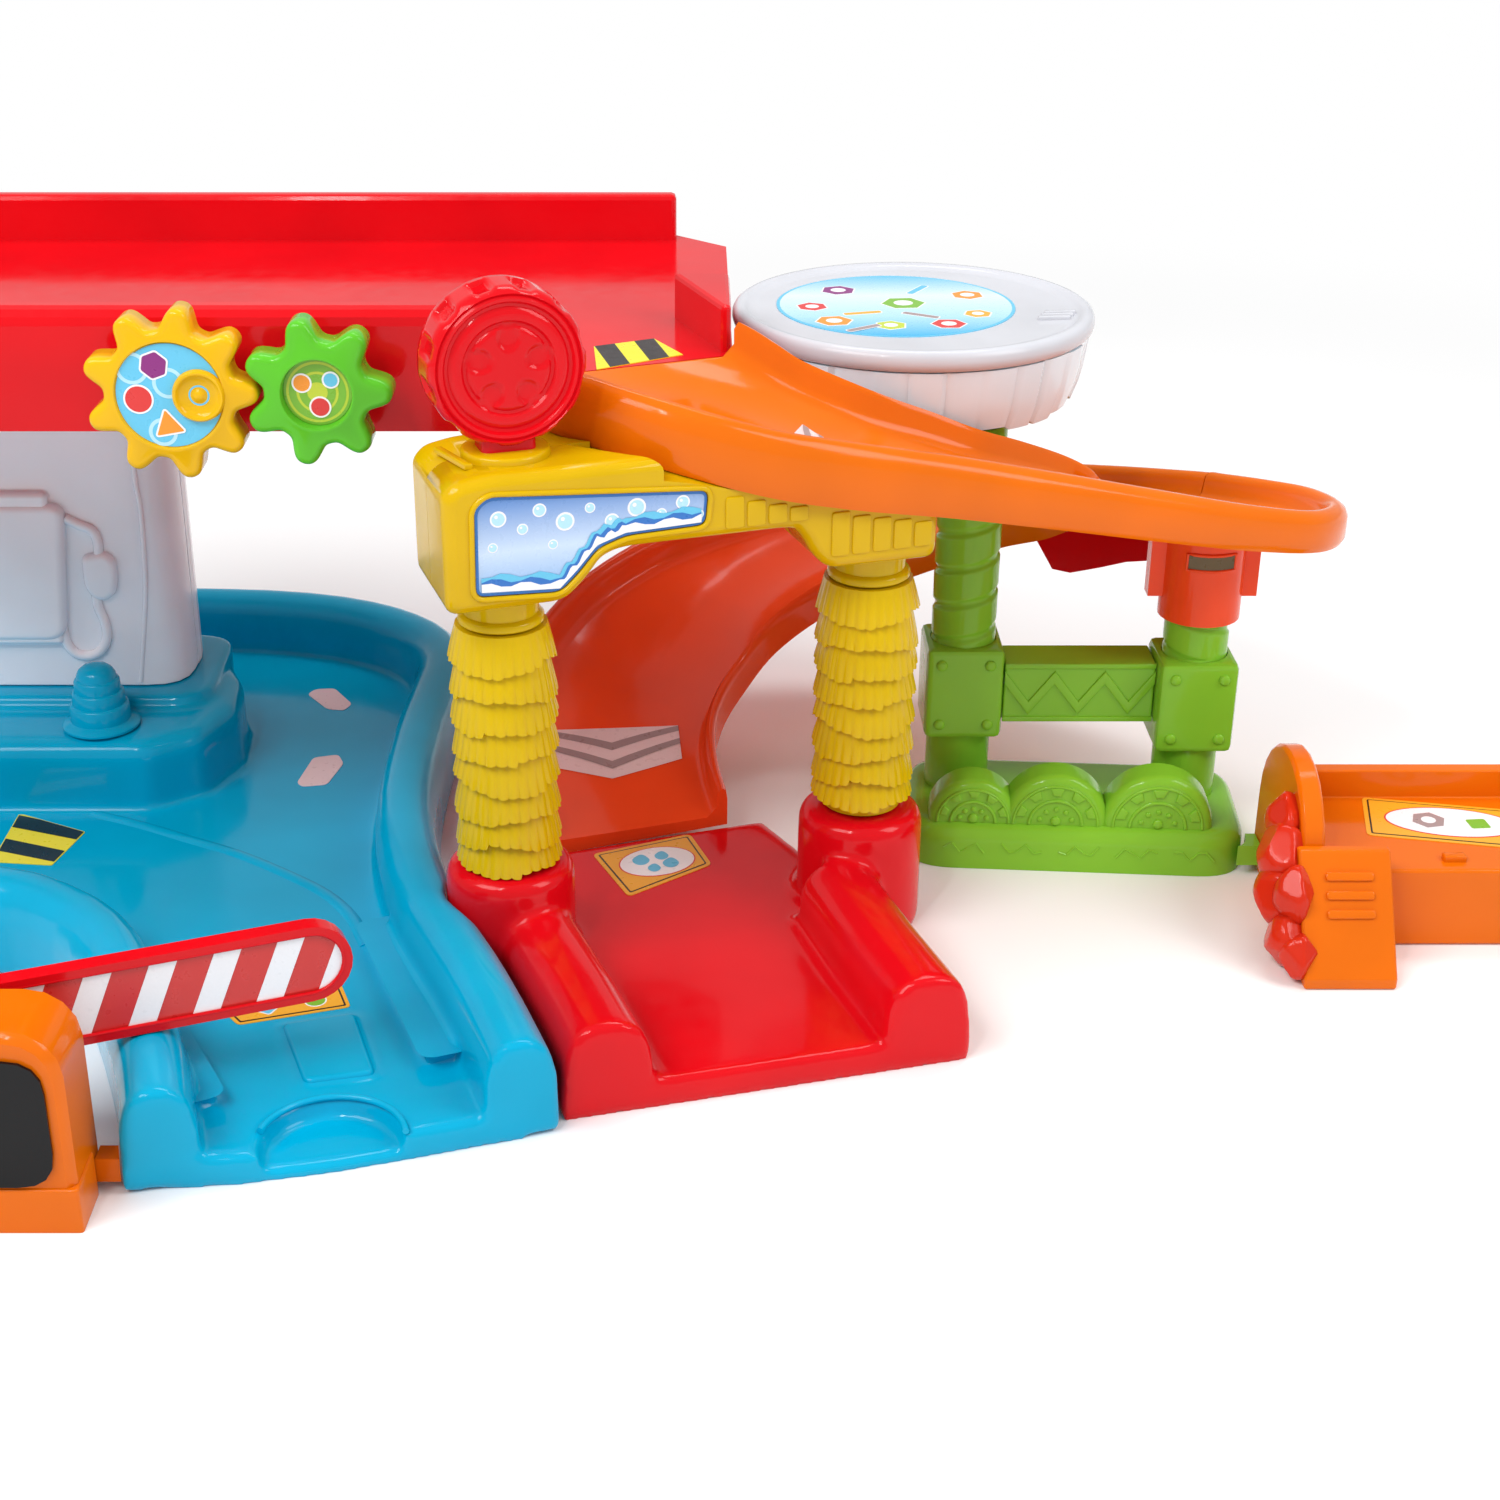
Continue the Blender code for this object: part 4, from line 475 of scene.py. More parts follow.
# Print on the workshop platform, from its middle: across, back, size, turn and ink of nuts and of bars
PLATFORM_NUTS = (
    (-0.0240, -0.0230, 0.0066, 10.0, INK_ORANGE), (-0.0040, -0.0290, 0.0056, 25.0, INK_LIME),
    (0.0170, -0.0270, 0.0062, 0.0, INK_RED), (0.0290, -0.0130, 0.0050, 15.0, INK_AMBER),
    (-0.0310, -0.0030, 0.0056, 40.0, INK_RED), (0.0030, 0.0020, 0.0080, 5.0, INK_LEAF),
    (0.0280, 0.0140, 0.0060, 35.0, INK_ORANGE), (-0.0200, 0.0210, 0.0064, 20.0, INK_PURPLE),
)
PLATFORM_BARS = (
    (-0.0140, -0.0330, 35.0, INK_GREY), (0.0080, -0.0150, -30.0, INK_GREY), (-0.0130, -0.0120, 15.0, INK_AMBER),
    (0.0100, 0.0220, 60.0, INK_SKY),
)


def shown(name, mesh, materials, body=ROOT, smooth_deg=38.0, instead=None):
    """Put a finished mesh in the scene, riding on a body of the frame; it may stand for a node."""
    mesh = joined(mesh) if isinstance(mesh, list) else mesh
    mesh.name = name
    for material in materials if isinstance(materials, (list, tuple)) else [materials]:
        mesh.materials.append(material)
    mesh.shade_smooth()
    mesh.set_sharp_from_angle(angle=math.radians(smooth_deg))
    item = bpy.data.objects.new(name, mesh)
    bpy.context.scene.collection.objects.link(item)
    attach(item, body)
    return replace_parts(item, instead) if instead else item


def written(work, mesh=None):
    """Mesh that takes what an editable mesh holds."""
    mesh = mesh or bpy.data.meshes.new("piece")
    work.to_mesh(mesh)
    work.free()
    return mesh


def mesh_from(points, faces, outward=True):
    mesh = bpy.data.meshes.new("piece")
    mesh.from_pydata([tuple(point) for point in points], [], faces)
    if outward:
        work = bmesh.new()
        work.from_mesh(mesh)
        bmesh.ops.recalc_face_normals(work, faces=work.faces)
        written(work, mesh)
    return mesh


def loft(rings, closed=True):
    """Mesh through rings with the same number of points; closed gives it two flat ends."""
    count = len(rings[0])
    points = [point for ring in rings for point in ring]
    faces = [tuple(range(count)), tuple(range(len(points) - count, len(points)))] if closed else []
    for low in range(0, len(points) - count, count):
        for k in range(count):
            after = (k + 1) % count
            faces.append((low + k, low + after, low + count + after, low + count + k))
    return mesh_from(points, faces)


def joined(meshes):
    """One mesh from several."""
    work = bmesh.new()
    for mesh in meshes:
        work.from_mesh(mesh)
        bpy.data.meshes.remove(mesh)
    return written(work)


def turns_of(count):
    return [math.tau * k / count for k in range(count)]


def circle(centre, radius, segments=48):
    return [(centre[0] + radius * math.cos(turn), centre[1] + radius * math.sin(turn)) for turn in turns_of(segments)]


def oblong(left, foot, right, head):
    return [(left, foot), (right, foot), (right, head), (left, head)]


def centre_of(node):
    """Middle of a node, seen from above."""
    low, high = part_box(node)
    return (low.x + high.x) / 2, (low.y + high.y) / 2


def grown(outline, distance):
    """Counter-clockwise outline moved outwards by a distance."""
    count = len(outline)
    result = []
    for k in range(count):
        before, here, after = (Vector(outline[(k + j) % count][:2]) for j in (-1, 0, 1))
        first, second = (here - before).normalized(), (after - here).normalized()
        normal_a, normal_b = Vector((first.y, -first.x)), Vector((second.y, -second.x))
        middle = (normal_a + normal_b).normalized()
        result.append(tuple(here + middle * distance / max(middle.dot(normal_a), 0.5)))
    return result


def rounded(outline, radius, steps=5):
    """Outline with each corner turned into a curve."""
    result = []
    count = len(outline)
    for k in range(count):
        before, here, after = (Vector(outline[(k + j) % count]) for j in (-1, 0, 1))
        to_before, to_after = before - here, after - here
        reach = min(radius, 0.45 * to_before.length, 0.45 * to_after.length)
        start, end = here + to_before.normalized() * reach, here + to_after.normalized() * reach
        for j in range(steps + 1):
            t = j / steps
            result.append(tuple(start * (1 - t) ** 2 + here * 2 * t * (1 - t) + end * t ** 2))
    return result


def arch_plan(across, forward):
    yaw = math.radians(ARCH_YAW_DEG)
    x = ARCH_CENTRE[0] + across * math.cos(yaw) + forward * math.sin(yaw)
    y = ARCH_CENTRE[1] + across * math.sin(yaw) - forward * math.cos(yaw)
    return x, y


def arch_face(across, up, proud):
    """Point on the front of the car wash arch, proud of its face."""
    return (*arch_plan(across, ARCH_FRONT + proud), up)


def flat_at(height):
    def place(x, y, proud):
        return (x, y, height + proud)
    return place


def pillow(outline, place, height, edge, steps=3, root=None):
    """Raised form on a face: the outline goes up straight and turns in over a rounded edge."""
    start = -edge if root is None else root
    rings = [[place(a, b, start) for a, b in outline], [place(a, b, height - edge) for a, b in outline]]
    for k in range(1, steps + 1):
        turn = math.pi / 2 * k / steps
        inner = grown(outline, -edge * (1 - math.cos(turn)))
        rings.append([place(a, b, height - edge + edge * math.sin(turn)) for a, b in inner])
    return loft(rings)


def bead(path, radius, loop=False, segments=10):
    """Round bar along a path."""
    points = [Vector(point) for point in path]
    count = len(points)
    rings = []
    side = None
    for k, point in enumerate(points):
        before = points[(k - 1) % count] if loop or k else point
        after = points[(k + 1) % count] if loop or k < count - 1 else point
        along = (after - before).normalized()
        if side is None:
            side = along.orthogonal().normalized()
        side = (side - along * side.dot(along)).normalized()
        up = along.cross(side)
        rings.append([point + side * radius * math.cos(turn) + up * radius * math.sin(turn)
                      for turn in turns_of(segments)])
    if loop:
        rings.append(rings[0])
    return loft(rings, closed=not loop)


def curved(path, steps=5):
    """Smooth path through the points of a rough one."""
    fine = []
    for k in range(len(path) - 1):
        before, first = Vector(path[max(k - 1, 0)]), Vector(path[k])
        last, after = Vector(path[k + 1]), Vector(path[min(k + 2, len(path) - 1)])
        for j in range(steps):
            t = j / steps
            fine.append(0.5 * (2 * first + (last - before) * t + (2 * before - 5 * first + 4 * last - after) * t ** 2
                               + (3 * first - before - 3 * last + after) * t ** 3))
    return fine + [Vector(path[-1])]


def inked(name, points, faces, slots, inks, body=ROOT, instead=None):
    """Open mesh whose faces each have an ink of their own."""
    mesh = mesh_from(points, faces, outward=False)
    item = shown(name, mesh, inks, body, instead=instead)
    for polygon, slot in zip(mesh.polygons, slots):
        polygon.material_index = slot
    return item


def printed(name, layers, place, body=ROOT, base_proud=0.0, instead=None):
    """Flat print: each layer is an outline and its ink, a hair above those that it covers."""
    inks, covered = [], []
    points, faces, slots = [], [], []
    for outline, ink in layers:
        if ink not in inks:
            inks.append(ink)
        left, foot, right, head = (pick(point[k] for point in outline) for pick in (min, max) for k in (0, 1))
        level = 1 + max((deep for other_left, other_foot, other_right, other_head, deep in covered
                         if other_left < right and left < other_right and other_foot < head and foot < other_head),
                        default=-1)
        covered.append((left, foot, right, head, level))
        proud = base_proud + PRINT_THICK + PRINT_STEP * level
        low = base_proud if level == 0 else proud - PRINT_STEP * 0.9
        first = len(points)
        count = len(outline)
        points += [place(a, b, low) for a, b in outline] + [place(a, b, proud) for a, b in outline]
        faces.append(tuple(range(first + count, first + 2 * count)))
        slots.append(inks.index(ink))
        for k in range(count):
            after = (k + 1) % count
            faces.append((first + k, first + after, first + count + after, first + count + k))
            slots.append(inks.index(ink))
    return inked(name, points, faces, slots, inks, body, instead)


def clipped(outline, window):
    """Part of an outline inside a convex counter-clockwise window."""
    for k in range(len(window)):
        start, end = Vector(window[k - 1]), Vector(window[k])
        inward = Vector((start.y - end.y, end.x - start.x))
        kept = []
        for j, point in enumerate(outline):
            here, before = Vector(point), Vector(outline[j - 1])
            inside, was_inside = (here - start).dot(inward) >= 0, (before - start).dot(inward) >= 0
            if inside != was_inside:
                share = (start - before).dot(inward) / (here - before).dot(inward)
                kept.append(tuple(before.lerp(here, share)))
            if inside:
                kept.append(tuple(here))
        outline = kept
        if len(outline) < 3:
            return []
    return outline


def turned(profile, centre, segments=56):
    """Body of revolution about Z from a profile of radius and height, with flat ends."""
    return loft([[(centre[0] + a, centre[1] + b, height) for a, b in circle((0.0, 0.0), radius, segments)]
                 for radius, height in profile])


def button(place, centre, radius, height):
    """Small domed stud on a face."""
    steps = ((1.0, -0.3), (1.0, 0.25), (0.93, 0.55), (0.76, 0.80), (0.5, 0.95), (0.2, 1.0))
    rings = [[place(a, b, height * up) for a, b in circle(centre, radius * out, 20)] for out, up in steps]
    return loft(rings)


def ribbon(points, width):
    """Outline of a band of constant height along a path, as seen on a face."""
    upper = [(a, b + width / 2) for a, b in points]
    lower = [(a, b - width / 2) for a, b in points]
    return lower + upper[::-1]


def surface_of(node):
    """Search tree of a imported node, with the move from the scene's frame to its own."""
    item = frame["nodes"][node]
    work = bmesh.new()
    work.from_mesh(item.data)
    tree = BVHTree.FromBMesh(work)
    work.free()
    return tree, item.matrix_world.inverted()


def draped(name, node, corners, bands):
    """Film on a curved surface; each band runs between two shares of the way from back to front edge."""
    tree, inverse = surface_of(node)
    back_left, back_right, front_right, tip, front_left = (Vector(corner) for corner in corners)

    def on_surface(across, down, lift):
        back = back_left.lerp(back_right, across)
        half = across * 2
        front = front_left.lerp(tip, half) if half <= 1 else tip.lerp(front_right, half - 1)
        spot = back.lerp(front, down)
        hit = tree.ray_cast(inverse @ Vector((spot.x, spot.y, 0.30)), Vector((0.0, 0.0, -1.0)))[0]
        height = (inverse.inverted() @ hit).z if hit else 0.0
        return (spot.x, spot.y, height + lift)

    columns, rows = 32, 6
    points, faces, slots, inks = [], [], [], []
    for order, (sides, middle, half_width, ink) in enumerate(bands):
        if ink not in inks:
            inks.append(ink)
        first = len(points)
        for k in range(columns + 1):
            across = k / columns
            centre = sides + (middle - sides) * (1 - abs(2 * across - 1))
            for j in range(rows + 1):
                down = centre + half_width * (2 * j / rows - 1)
                points.append(on_surface(across, min(1.0, max(0.0, down)), PRINT_THICK + DRAPE_STEP * order))
        for k in range(columns):
            for j in range(rows):
                low = first + k * (rows + 1) + j
                faces.append((low, low + 1, low + rows + 2, low + rows + 1))
                slots.append(inks.index(ink))
    return inked(name, points, faces, slots, inks)


def body_of(node):
    return next(body for body, nodes in frame["record"]["behaviour"]["bodies"].items() if node in nodes)


def even_shading(item):
    """Large flat faces stay flat next to their rounded edges."""
    item.modifiers.new("even_shading", "WEIGHTED_NORMAL").keep_sharp = True
    return item


def opened(node):
    """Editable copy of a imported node, with its triangles' corners welded."""
    work = bmesh.new()
    work.from_mesh(frame["nodes"][node].data)
    bmesh.ops.remove_doubles(work, verts=work.verts, dist=WELD)
    return work


def stand_in(node, mesh, materials, smooth_deg=38.0):
    """Put a finer version of a node in its place."""
    for name in ("custom_normal", "sharp_edge"):
        if name in mesh.attributes:
            mesh.attributes.remove(mesh.attributes[name])
    mesh.materials.clear()
    return shown(node + "_fine", mesh, materials, body_of(node), smooth_deg, instead=node)


def softened(radius, material, *nodes):
    """Fine versions of nodes with their outer edges rounded, in place of the plain ones."""
    for node in nodes:
        work = opened(node)
        bmesh.ops.dissolve_limit(work, angle_limit=math.radians(0.6), verts=work.verts, edges=work.edges)
        edges = [edge for edge in work.edges
                 if len(edge.link_faces) == 2 and edge.calc_face_angle(0.0) >= math.radians(EDGE_LIMIT_DEG)]
        bmesh.ops.bevel(work, geom=edges, offset=radius, offset_type="OFFSET", segments=3, profile=0.5,
                        affect="EDGES", clamp_overlap=True)
        bmesh.ops.recalc_face_normals(work, faces=work.faces)
        even_shading(stand_in(node, written(work), material))


def evaluated(draft):
    """Mesh of a scratch object with its modifiers applied. The object is deleted."""
    bpy.context.scene.collection.objects.link(draft)
    mesh = bpy.data.meshes.new_from_object(draft.evaluated_get(bpy.context.evaluated_depsgraph_get()))
    bpy.data.objects.remove(draft)
    return mesh


def remoulded(node, material, voxel, rounds):
    """Version of a node with all edges above its foot eased, as in a deep moulding, in place of the plain one."""
    draft = bpy.data.objects.new("draft", frame["nodes"][node].data.copy())
    grid = draft.modifiers.new("grid", "REMESH")
    grid.mode, grid.voxel_size = "VOXEL", voxel
    mesh = evaluated(draft)
    work = bmesh.new()
    work.from_mesh(mesh)
    foot = min(vert.co.z for vert in work.verts) + voxel / 2
    free = [vert for vert in work.verts if vert.co.z > foot]
    held = [vert for vert in work.verts if vert.co.z <= foot]
    for _ in range(rounds):
        for verts, lifts in ((free, True), (held, False)):
            bmesh.ops.smooth_vert(work, verts=verts, factor=0.5, use_axis_x=True, use_axis_y=True, use_axis_z=lifts)
    draft = bpy.data.objects.new("draft", written(work, mesh))
    draft.modifiers.new("thin", "DECIMATE").ratio = KEPT_SHARE
    even_shading(stand_in(node, evaluated(draft), material, 60.0))


def painted(material, *nodes):
    """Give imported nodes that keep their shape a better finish."""
    for node in nodes:
        mesh = frame["nodes"][node].data
        mesh.materials.clear()
        mesh.materials.append(material)


def make_camera():
    data = bpy.data.cameras.new("camera")
    data.lens = CAMERA_LENS_MM
    data.sensor_width = SENSOR_WIDTH_MM
    data.shift_x = CAMERA_SHIFT_X
    data.clip_start, data.clip_end = 0.01, 50.0
    camera = bpy.data.objects.new("camera", data)
    camera.location = CAMERA_PLACE
    camera.rotation_euler = (math.radians(CAMERA_TILT_DEG), 0.0, 0.0)
    bpy.context.scene.collection.objects.link(camera)
    bpy.context.scene.camera = camera


def make_light():
    scene = bpy.context.scene
    scene.view_settings.view_transform = "Standard"
    world = bpy.data.worlds.new("studio")
    scene.world = world
    world.use_nodes = True
    tree = world.node_tree
    background = tree.nodes["Background"]
    background.inputs["Color"].default_value = (1.0, 1.0, 1.0, 1.0)
    seen = added(tree, "LightPath").outputs["Is Camera Ray"]
    strength = added(tree, "MapRange", Value=seen, To_Min=WORLD_LIGHT, To_Max=1.0)
    tree.links.new(strength.outputs["Result"], background.inputs["Strength"])
    for name, place, size, power in LAMPS:
        data = bpy.data.lights.new(name, "AREA")
        data.shape = "RECTANGLE"
        data.size, data.size_y = size
        data.energy = power
        lamp = bpy.data.objects.new(name, data)
        lamp.location = place
        lamp.rotation_euler = (Vector(LAMP_TARGET) - Vector(place)).to_track_quat("-Z", "Y").to_euler()
        scene.collection.objects.link(lamp)


def make_floor():
    """Pale floor that takes the shadows and fades to plain white away from the object."""
    half = FLOOR_SIZE / 2
    points = [(x, y, CAD_BOX[0].z - PRINT_STEP) for x, y in oblong(-half, -half, half, half)]
    mesh = mesh_from(points, [(0, 1, 2, 3)], outward=False)
    material, tree, shader = new_material("pale_floor")
    tone = toned(tree, noise(tree, 3.0), (0.93, 0.93, 0.93, 1.0), (0.95, 0.95, 0.95, 1.0))
    set_inputs(tree, shader, {"Base Color": tone, "Roughness": 0.6, "Specular IOR Level": 0.2})
    length = tree.nodes.new("ShaderNodeVectorMath")
    length.operation = "LENGTH"
    tree.links.new(added(tree, "TexCoord").outputs["Object"], length.inputs[0])
    fade = added(tree, "MapRange", Value=length.outputs["Value"], From_Min=FLOOR_FADE[0], From_Max=FLOOR_FADE[1])
    fade.interpolation_type = "SMOOTHSTEP"
    mix = added(tree, "MixShader", Fac=fade.outputs["Result"])
    tree.links.new(shader.outputs["BSDF"], mix.inputs[1])
    tree.links.new(added(tree, "Emission").outputs["Emission"], mix.inputs[2])
    tree.links.new(mix.outputs["Shader"], tree.nodes["Material Output"].inputs["Surface"])
    mesh.materials.append(material)
    floor = bpy.data.objects.new("floor", mesh)
    bpy.context.scene.collection.objects.link(floor)


def dress_bases():
    remoulded("blue_base", BLUE, *BLUE_BASE_GRID)
    remoulded("wash_base", RED, *WASH_BASE_GRID)
    lane = flat_at(LANE_TOP)
    strips = []
    for start, end in LANE_STRIPS:
        start, end = Vector(start), Vector(end)
        side = Vector((end.y - start.y, start.x - end.x)).normalized() * STRIP_HALF
        corners = [tuple(start - side), tuple(start + side), tuple(end + side), tuple(end - side)]
        strips.append(pillow(rounded(corners[::-1], STRIP_HALF / 2), lane, STRIP_RISE, STRIP_RISE / 2, 4))
    shown("lane_strips", strips, BLUE)
    shown("lane_pad", pillow(rounded(LANE_PAD, 0.0030), lane, 0.0024, 0.0016, 4), BLUE)
    crest = [(point.x, point.y, LANE_TOP + LANE_RIDGE_SINK) for point in curved(LANE_RIDGE)]
    shown("lane_ridge", bead(crest, LANE_RIDGE_RADIUS, segments=24), BLUE)


def smoothed(node, material, other=None, past=0.0):
    """Node rebuilt from four-sided faces, for long curved walls; past a place it has another colour."""
    work = opened(node)
    bmesh.ops.join_triangles(work, faces=work.faces, cmp_sharp=False, angle_face_threshold=math.radians(30),
                             angle_shape_threshold=math.radians(120))
    bmesh.ops.recalc_face_normals(work, faces=work.faces)
    item = stand_in(node, written(work), [material, other] if other else material, 60.0)
    for polygon in item.data.polygons if other else ():
        polygon.material_index = 1 if polygon.center.x > past else 0


def build_arch_shell(node, end):
    """Shell with well rounded outer edges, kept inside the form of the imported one."""
    way = 1 if end > ARCH_SEAM else -1
    spots = [(0.0, ARCH_SEAM - way * ARCH_ROUND)]
    for k in range(ARCH_STEPS + 1):
        turn = math.pi / 2 * k / ARCH_STEPS
        spots.append((ARCH_ROUND * (1 - math.cos(turn)), end - way * (ARCH_ROUND * (1 - math.sin(turn)) + ARCH_SKIN)))
    rings = []
    for inset, forward in spots:
        outline = rounded(grown(ARCH_OUTLINE, -inset - ARCH_SKIN), ARCH_ROUND)
        rings.append([(*arch_plan(across, forward), up) for across, up in outline])
    blank = bpy.data.objects.new("blank", loft(rings))
    cut = blank.modifiers.new("form", "BOOLEAN")
    cut.operation, cut.solver, cut.object = "INTERSECT", "EXACT", frame["nodes"][node]
    mesh = evaluated(blank)
    mesh.materials.clear()
    even_shading(shown(node + "_fine", mesh, HEAD_YELLOW, instead=node))


def wavy(path, rise):
    """Fine path that runs above a rough one with small waves."""
    fine = [(first[0] + (last[0] - first[0]) * t / 8, first[1] + (last[1] - first[1]) * t / 8)
            for first, last in zip(path[:-1], path[1:]) for t in range(8)] + [path[-1]]
    return [(a, b + rise + 0.0008 * math.sin(a * 1500.0 + rise * 900.0)) for a, b in fine]


def dress_arch():
    build_arch_shell("arch_front_shell", ARCH_FRONT)
    build_arch_shell("arch_rear_shell", ARCH_BACK)
    edge = rounded(SIGN_OUTLINE, SIGN_ROUND)
    outline = grown(edge, -0.0003)
    layers = [(outline, INK_DEEP_BLUE), (grown(outline, -0.0009), INK_SIGN)]
    for across, up, radius in BUBBLES:
        layers += [(circle((across, up), radius, 24), INK_WHITE),
                   (circle((across, up), radius * 0.78, 24), INK_PALE_SKY),
                   (circle((across - radius * 0.25, up + radius * 0.3), radius * 0.22, 16), INK_WHITE)]
    for rise, ink in FOAM_BANDS:
        layers.append((FOAM_FOOT + wavy(FOAM_FOOT, rise)[::-1], ink))
    printed("wash_sign_print", layers, arch_face, ROOT, SIGN_SINK, "wash_sign")
    rim = [arch_face(a, b, 0.0) for a, b in grown(edge, 0.0008)]
    shown("wash_sign_rim", bead(rim, 0.0009, loop=True), HEAD_YELLOW)
    dress_planks()

    def on_top(across, forward, proud):
        return (*arch_plan(across, forward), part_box("arch_front_shell")[1].z + proud)
    pad = circle((MEDALLION_OFFSET, 0.0035), 0.0140, 40)
    shown("medallion_pad", pillow(pad, on_top, 0.0024, 0.0012), HEAD_YELLOW)
    shown("arch_tab", pillow(ARCH_TAB, on_top, 0.0012, 0.0006), HEAD_YELLOW)


def dress_planks():
    """Upright boards moulded on the arch's right head, as high as the ramp leaves room for."""
    tree, inverse = surface_of("arch_front_shell")
    back = Vector(arch_plan(0.0, 0.0)) - Vector(arch_plan(0.0, 1.0))
    way = Vector((back.x, back.y, 0.0))

    def reaches(across, up):
        start = Vector(arch_face(across, up, 0.004))
        hit, _, _, distance = tree.ray_cast(inverse @ start, way)
        return hit is not None and distance < 0.006

    wide, proud = PLANK_SIZE
    boards = []
    for k in range(PLANK_COUNT):
        left = PLANK_START + PLANK_PITCH * k
        foot = PLANK_FEET[0] if left < PLANK_HEAD_START else PLANK_FEET[1]
        head = foot
        while head < PLANK_TOP and all(reaches(left + wide * t, head + PLANK_CLEAR) for t in (0.0, 0.5, 1.0)):
            head += 0.0005
        if head - foot > 0.004:
            board = rounded(oblong(left, foot, left + wide, head), 0.0010, 3)
            boards.append(pillow(board, arch_face, proud, 0.0004))
    shown("arch_planks", boards, HEAD_YELLOW)


def build_brush(side):
    """Fringe of overlapping pleated tiers round the spindle."""
    low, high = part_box(side + "_brush")
    cx, cy = centre_of(side + "_brush")
    foot = RIGHT_BRUSH_LIFT if side == "right" else 0.0
    tier_height = (high.z - low.z - foot) / BRUSH_TIERS
    columns = BRUSH_PLEATS * BRUSH_STEPS_PER_PLEAT
    tiers = []
    for tier in range(BRUSH_TIERS):
        top = high.z - tier_height * tier
        overlap = BRUSH_OVERLAP if tier < BRUSH_TIERS - 1 else 0.0
        rings = [[] for _ in BRUSH_ROWS + BRUSH_TUCKS]
        for k, angle in enumerate(turns_of(columns)):
            crest = math.sin(math.pi * (k / BRUSH_STEPS_PER_PLEAT % 1.0)) ** 0.6
            scallop = k / (BRUSH_STEPS_PER_PLEAT * BRUSH_PLEATS_PER_SCALLOP) + 0.5 * (tier % 2)
            waver = 0.5 + 0.3 * math.sin(2 * angle + 2.4 * tier) + 0.2 * math.sin(3 * angle + 1.7 * tier)
            hem = top - tier_height - overlap * waver
            hem += BRUSH_FRINGE * (0.6 * abs(math.cos(math.pi * scallop)) + 0.4 * (1 - crest))
            tab = k // (BRUSH_STEPS_PER_PLEAT * BRUSH_PLEATS_PER_SCALLOP)
            hem += BRUSH_TAB_STEP * ((7 * tab + 5 * tier) % 4 - 1.5)
            ripple = BRUSH_PLEAT_DEPTH * (crest - 1.0)
            ring_spots = []
            for down, out in BRUSH_ROWS:
                radius = BRUSH_ROOT_RADIUS + (BRUSH_EDGE_RADIUS - BRUSH_ROOT_RADIUS) * out
                ring_spots.append((radius + ripple * (0.2 + 0.8 * down), top + (hem - top) * down))
            for inwards, lift in BRUSH_TUCKS:
                ring_spots.append((BRUSH_EDGE_RADIUS - inwards + ripple, hem - lift))
            for ring, (radius, z) in zip(rings, ring_spots):
                ring.append((cx + radius * math.cos(angle), cy + radius * math.sin(angle), z))
        tiers.append(loft(rings))
    tiers.append(turned([(0.0128, low.z), (0.0136, low.z + 0.0006), (0.0136, low.z + 0.0050)], (cx, cy)))
    shown(side + "_brush_fringe", tiers, YELLOW, side + "_brush", 50.0, side + "_brush")


def build_collar(side):
    """Spindle of a brush, with the ring under the arch."""
    low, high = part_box(side + "_brush_spindle")
    neck = [(COLLAR_PROFILE[0][0], low.z)] + [(radius, high.z - drop) for radius, drop in COLLAR_PROFILE]
    shown(side + "_brush_collar", turned(neck, centre_of(side + "_brush_spindle")), YELLOW,
          instead=side + "_brush_spindle")


def medallion_face(across, up, proud):
    return (*arch_plan(MEDALLION_OFFSET + across, MEDALLION_FRONT + proud), MEDALLION_HEIGHT + up)


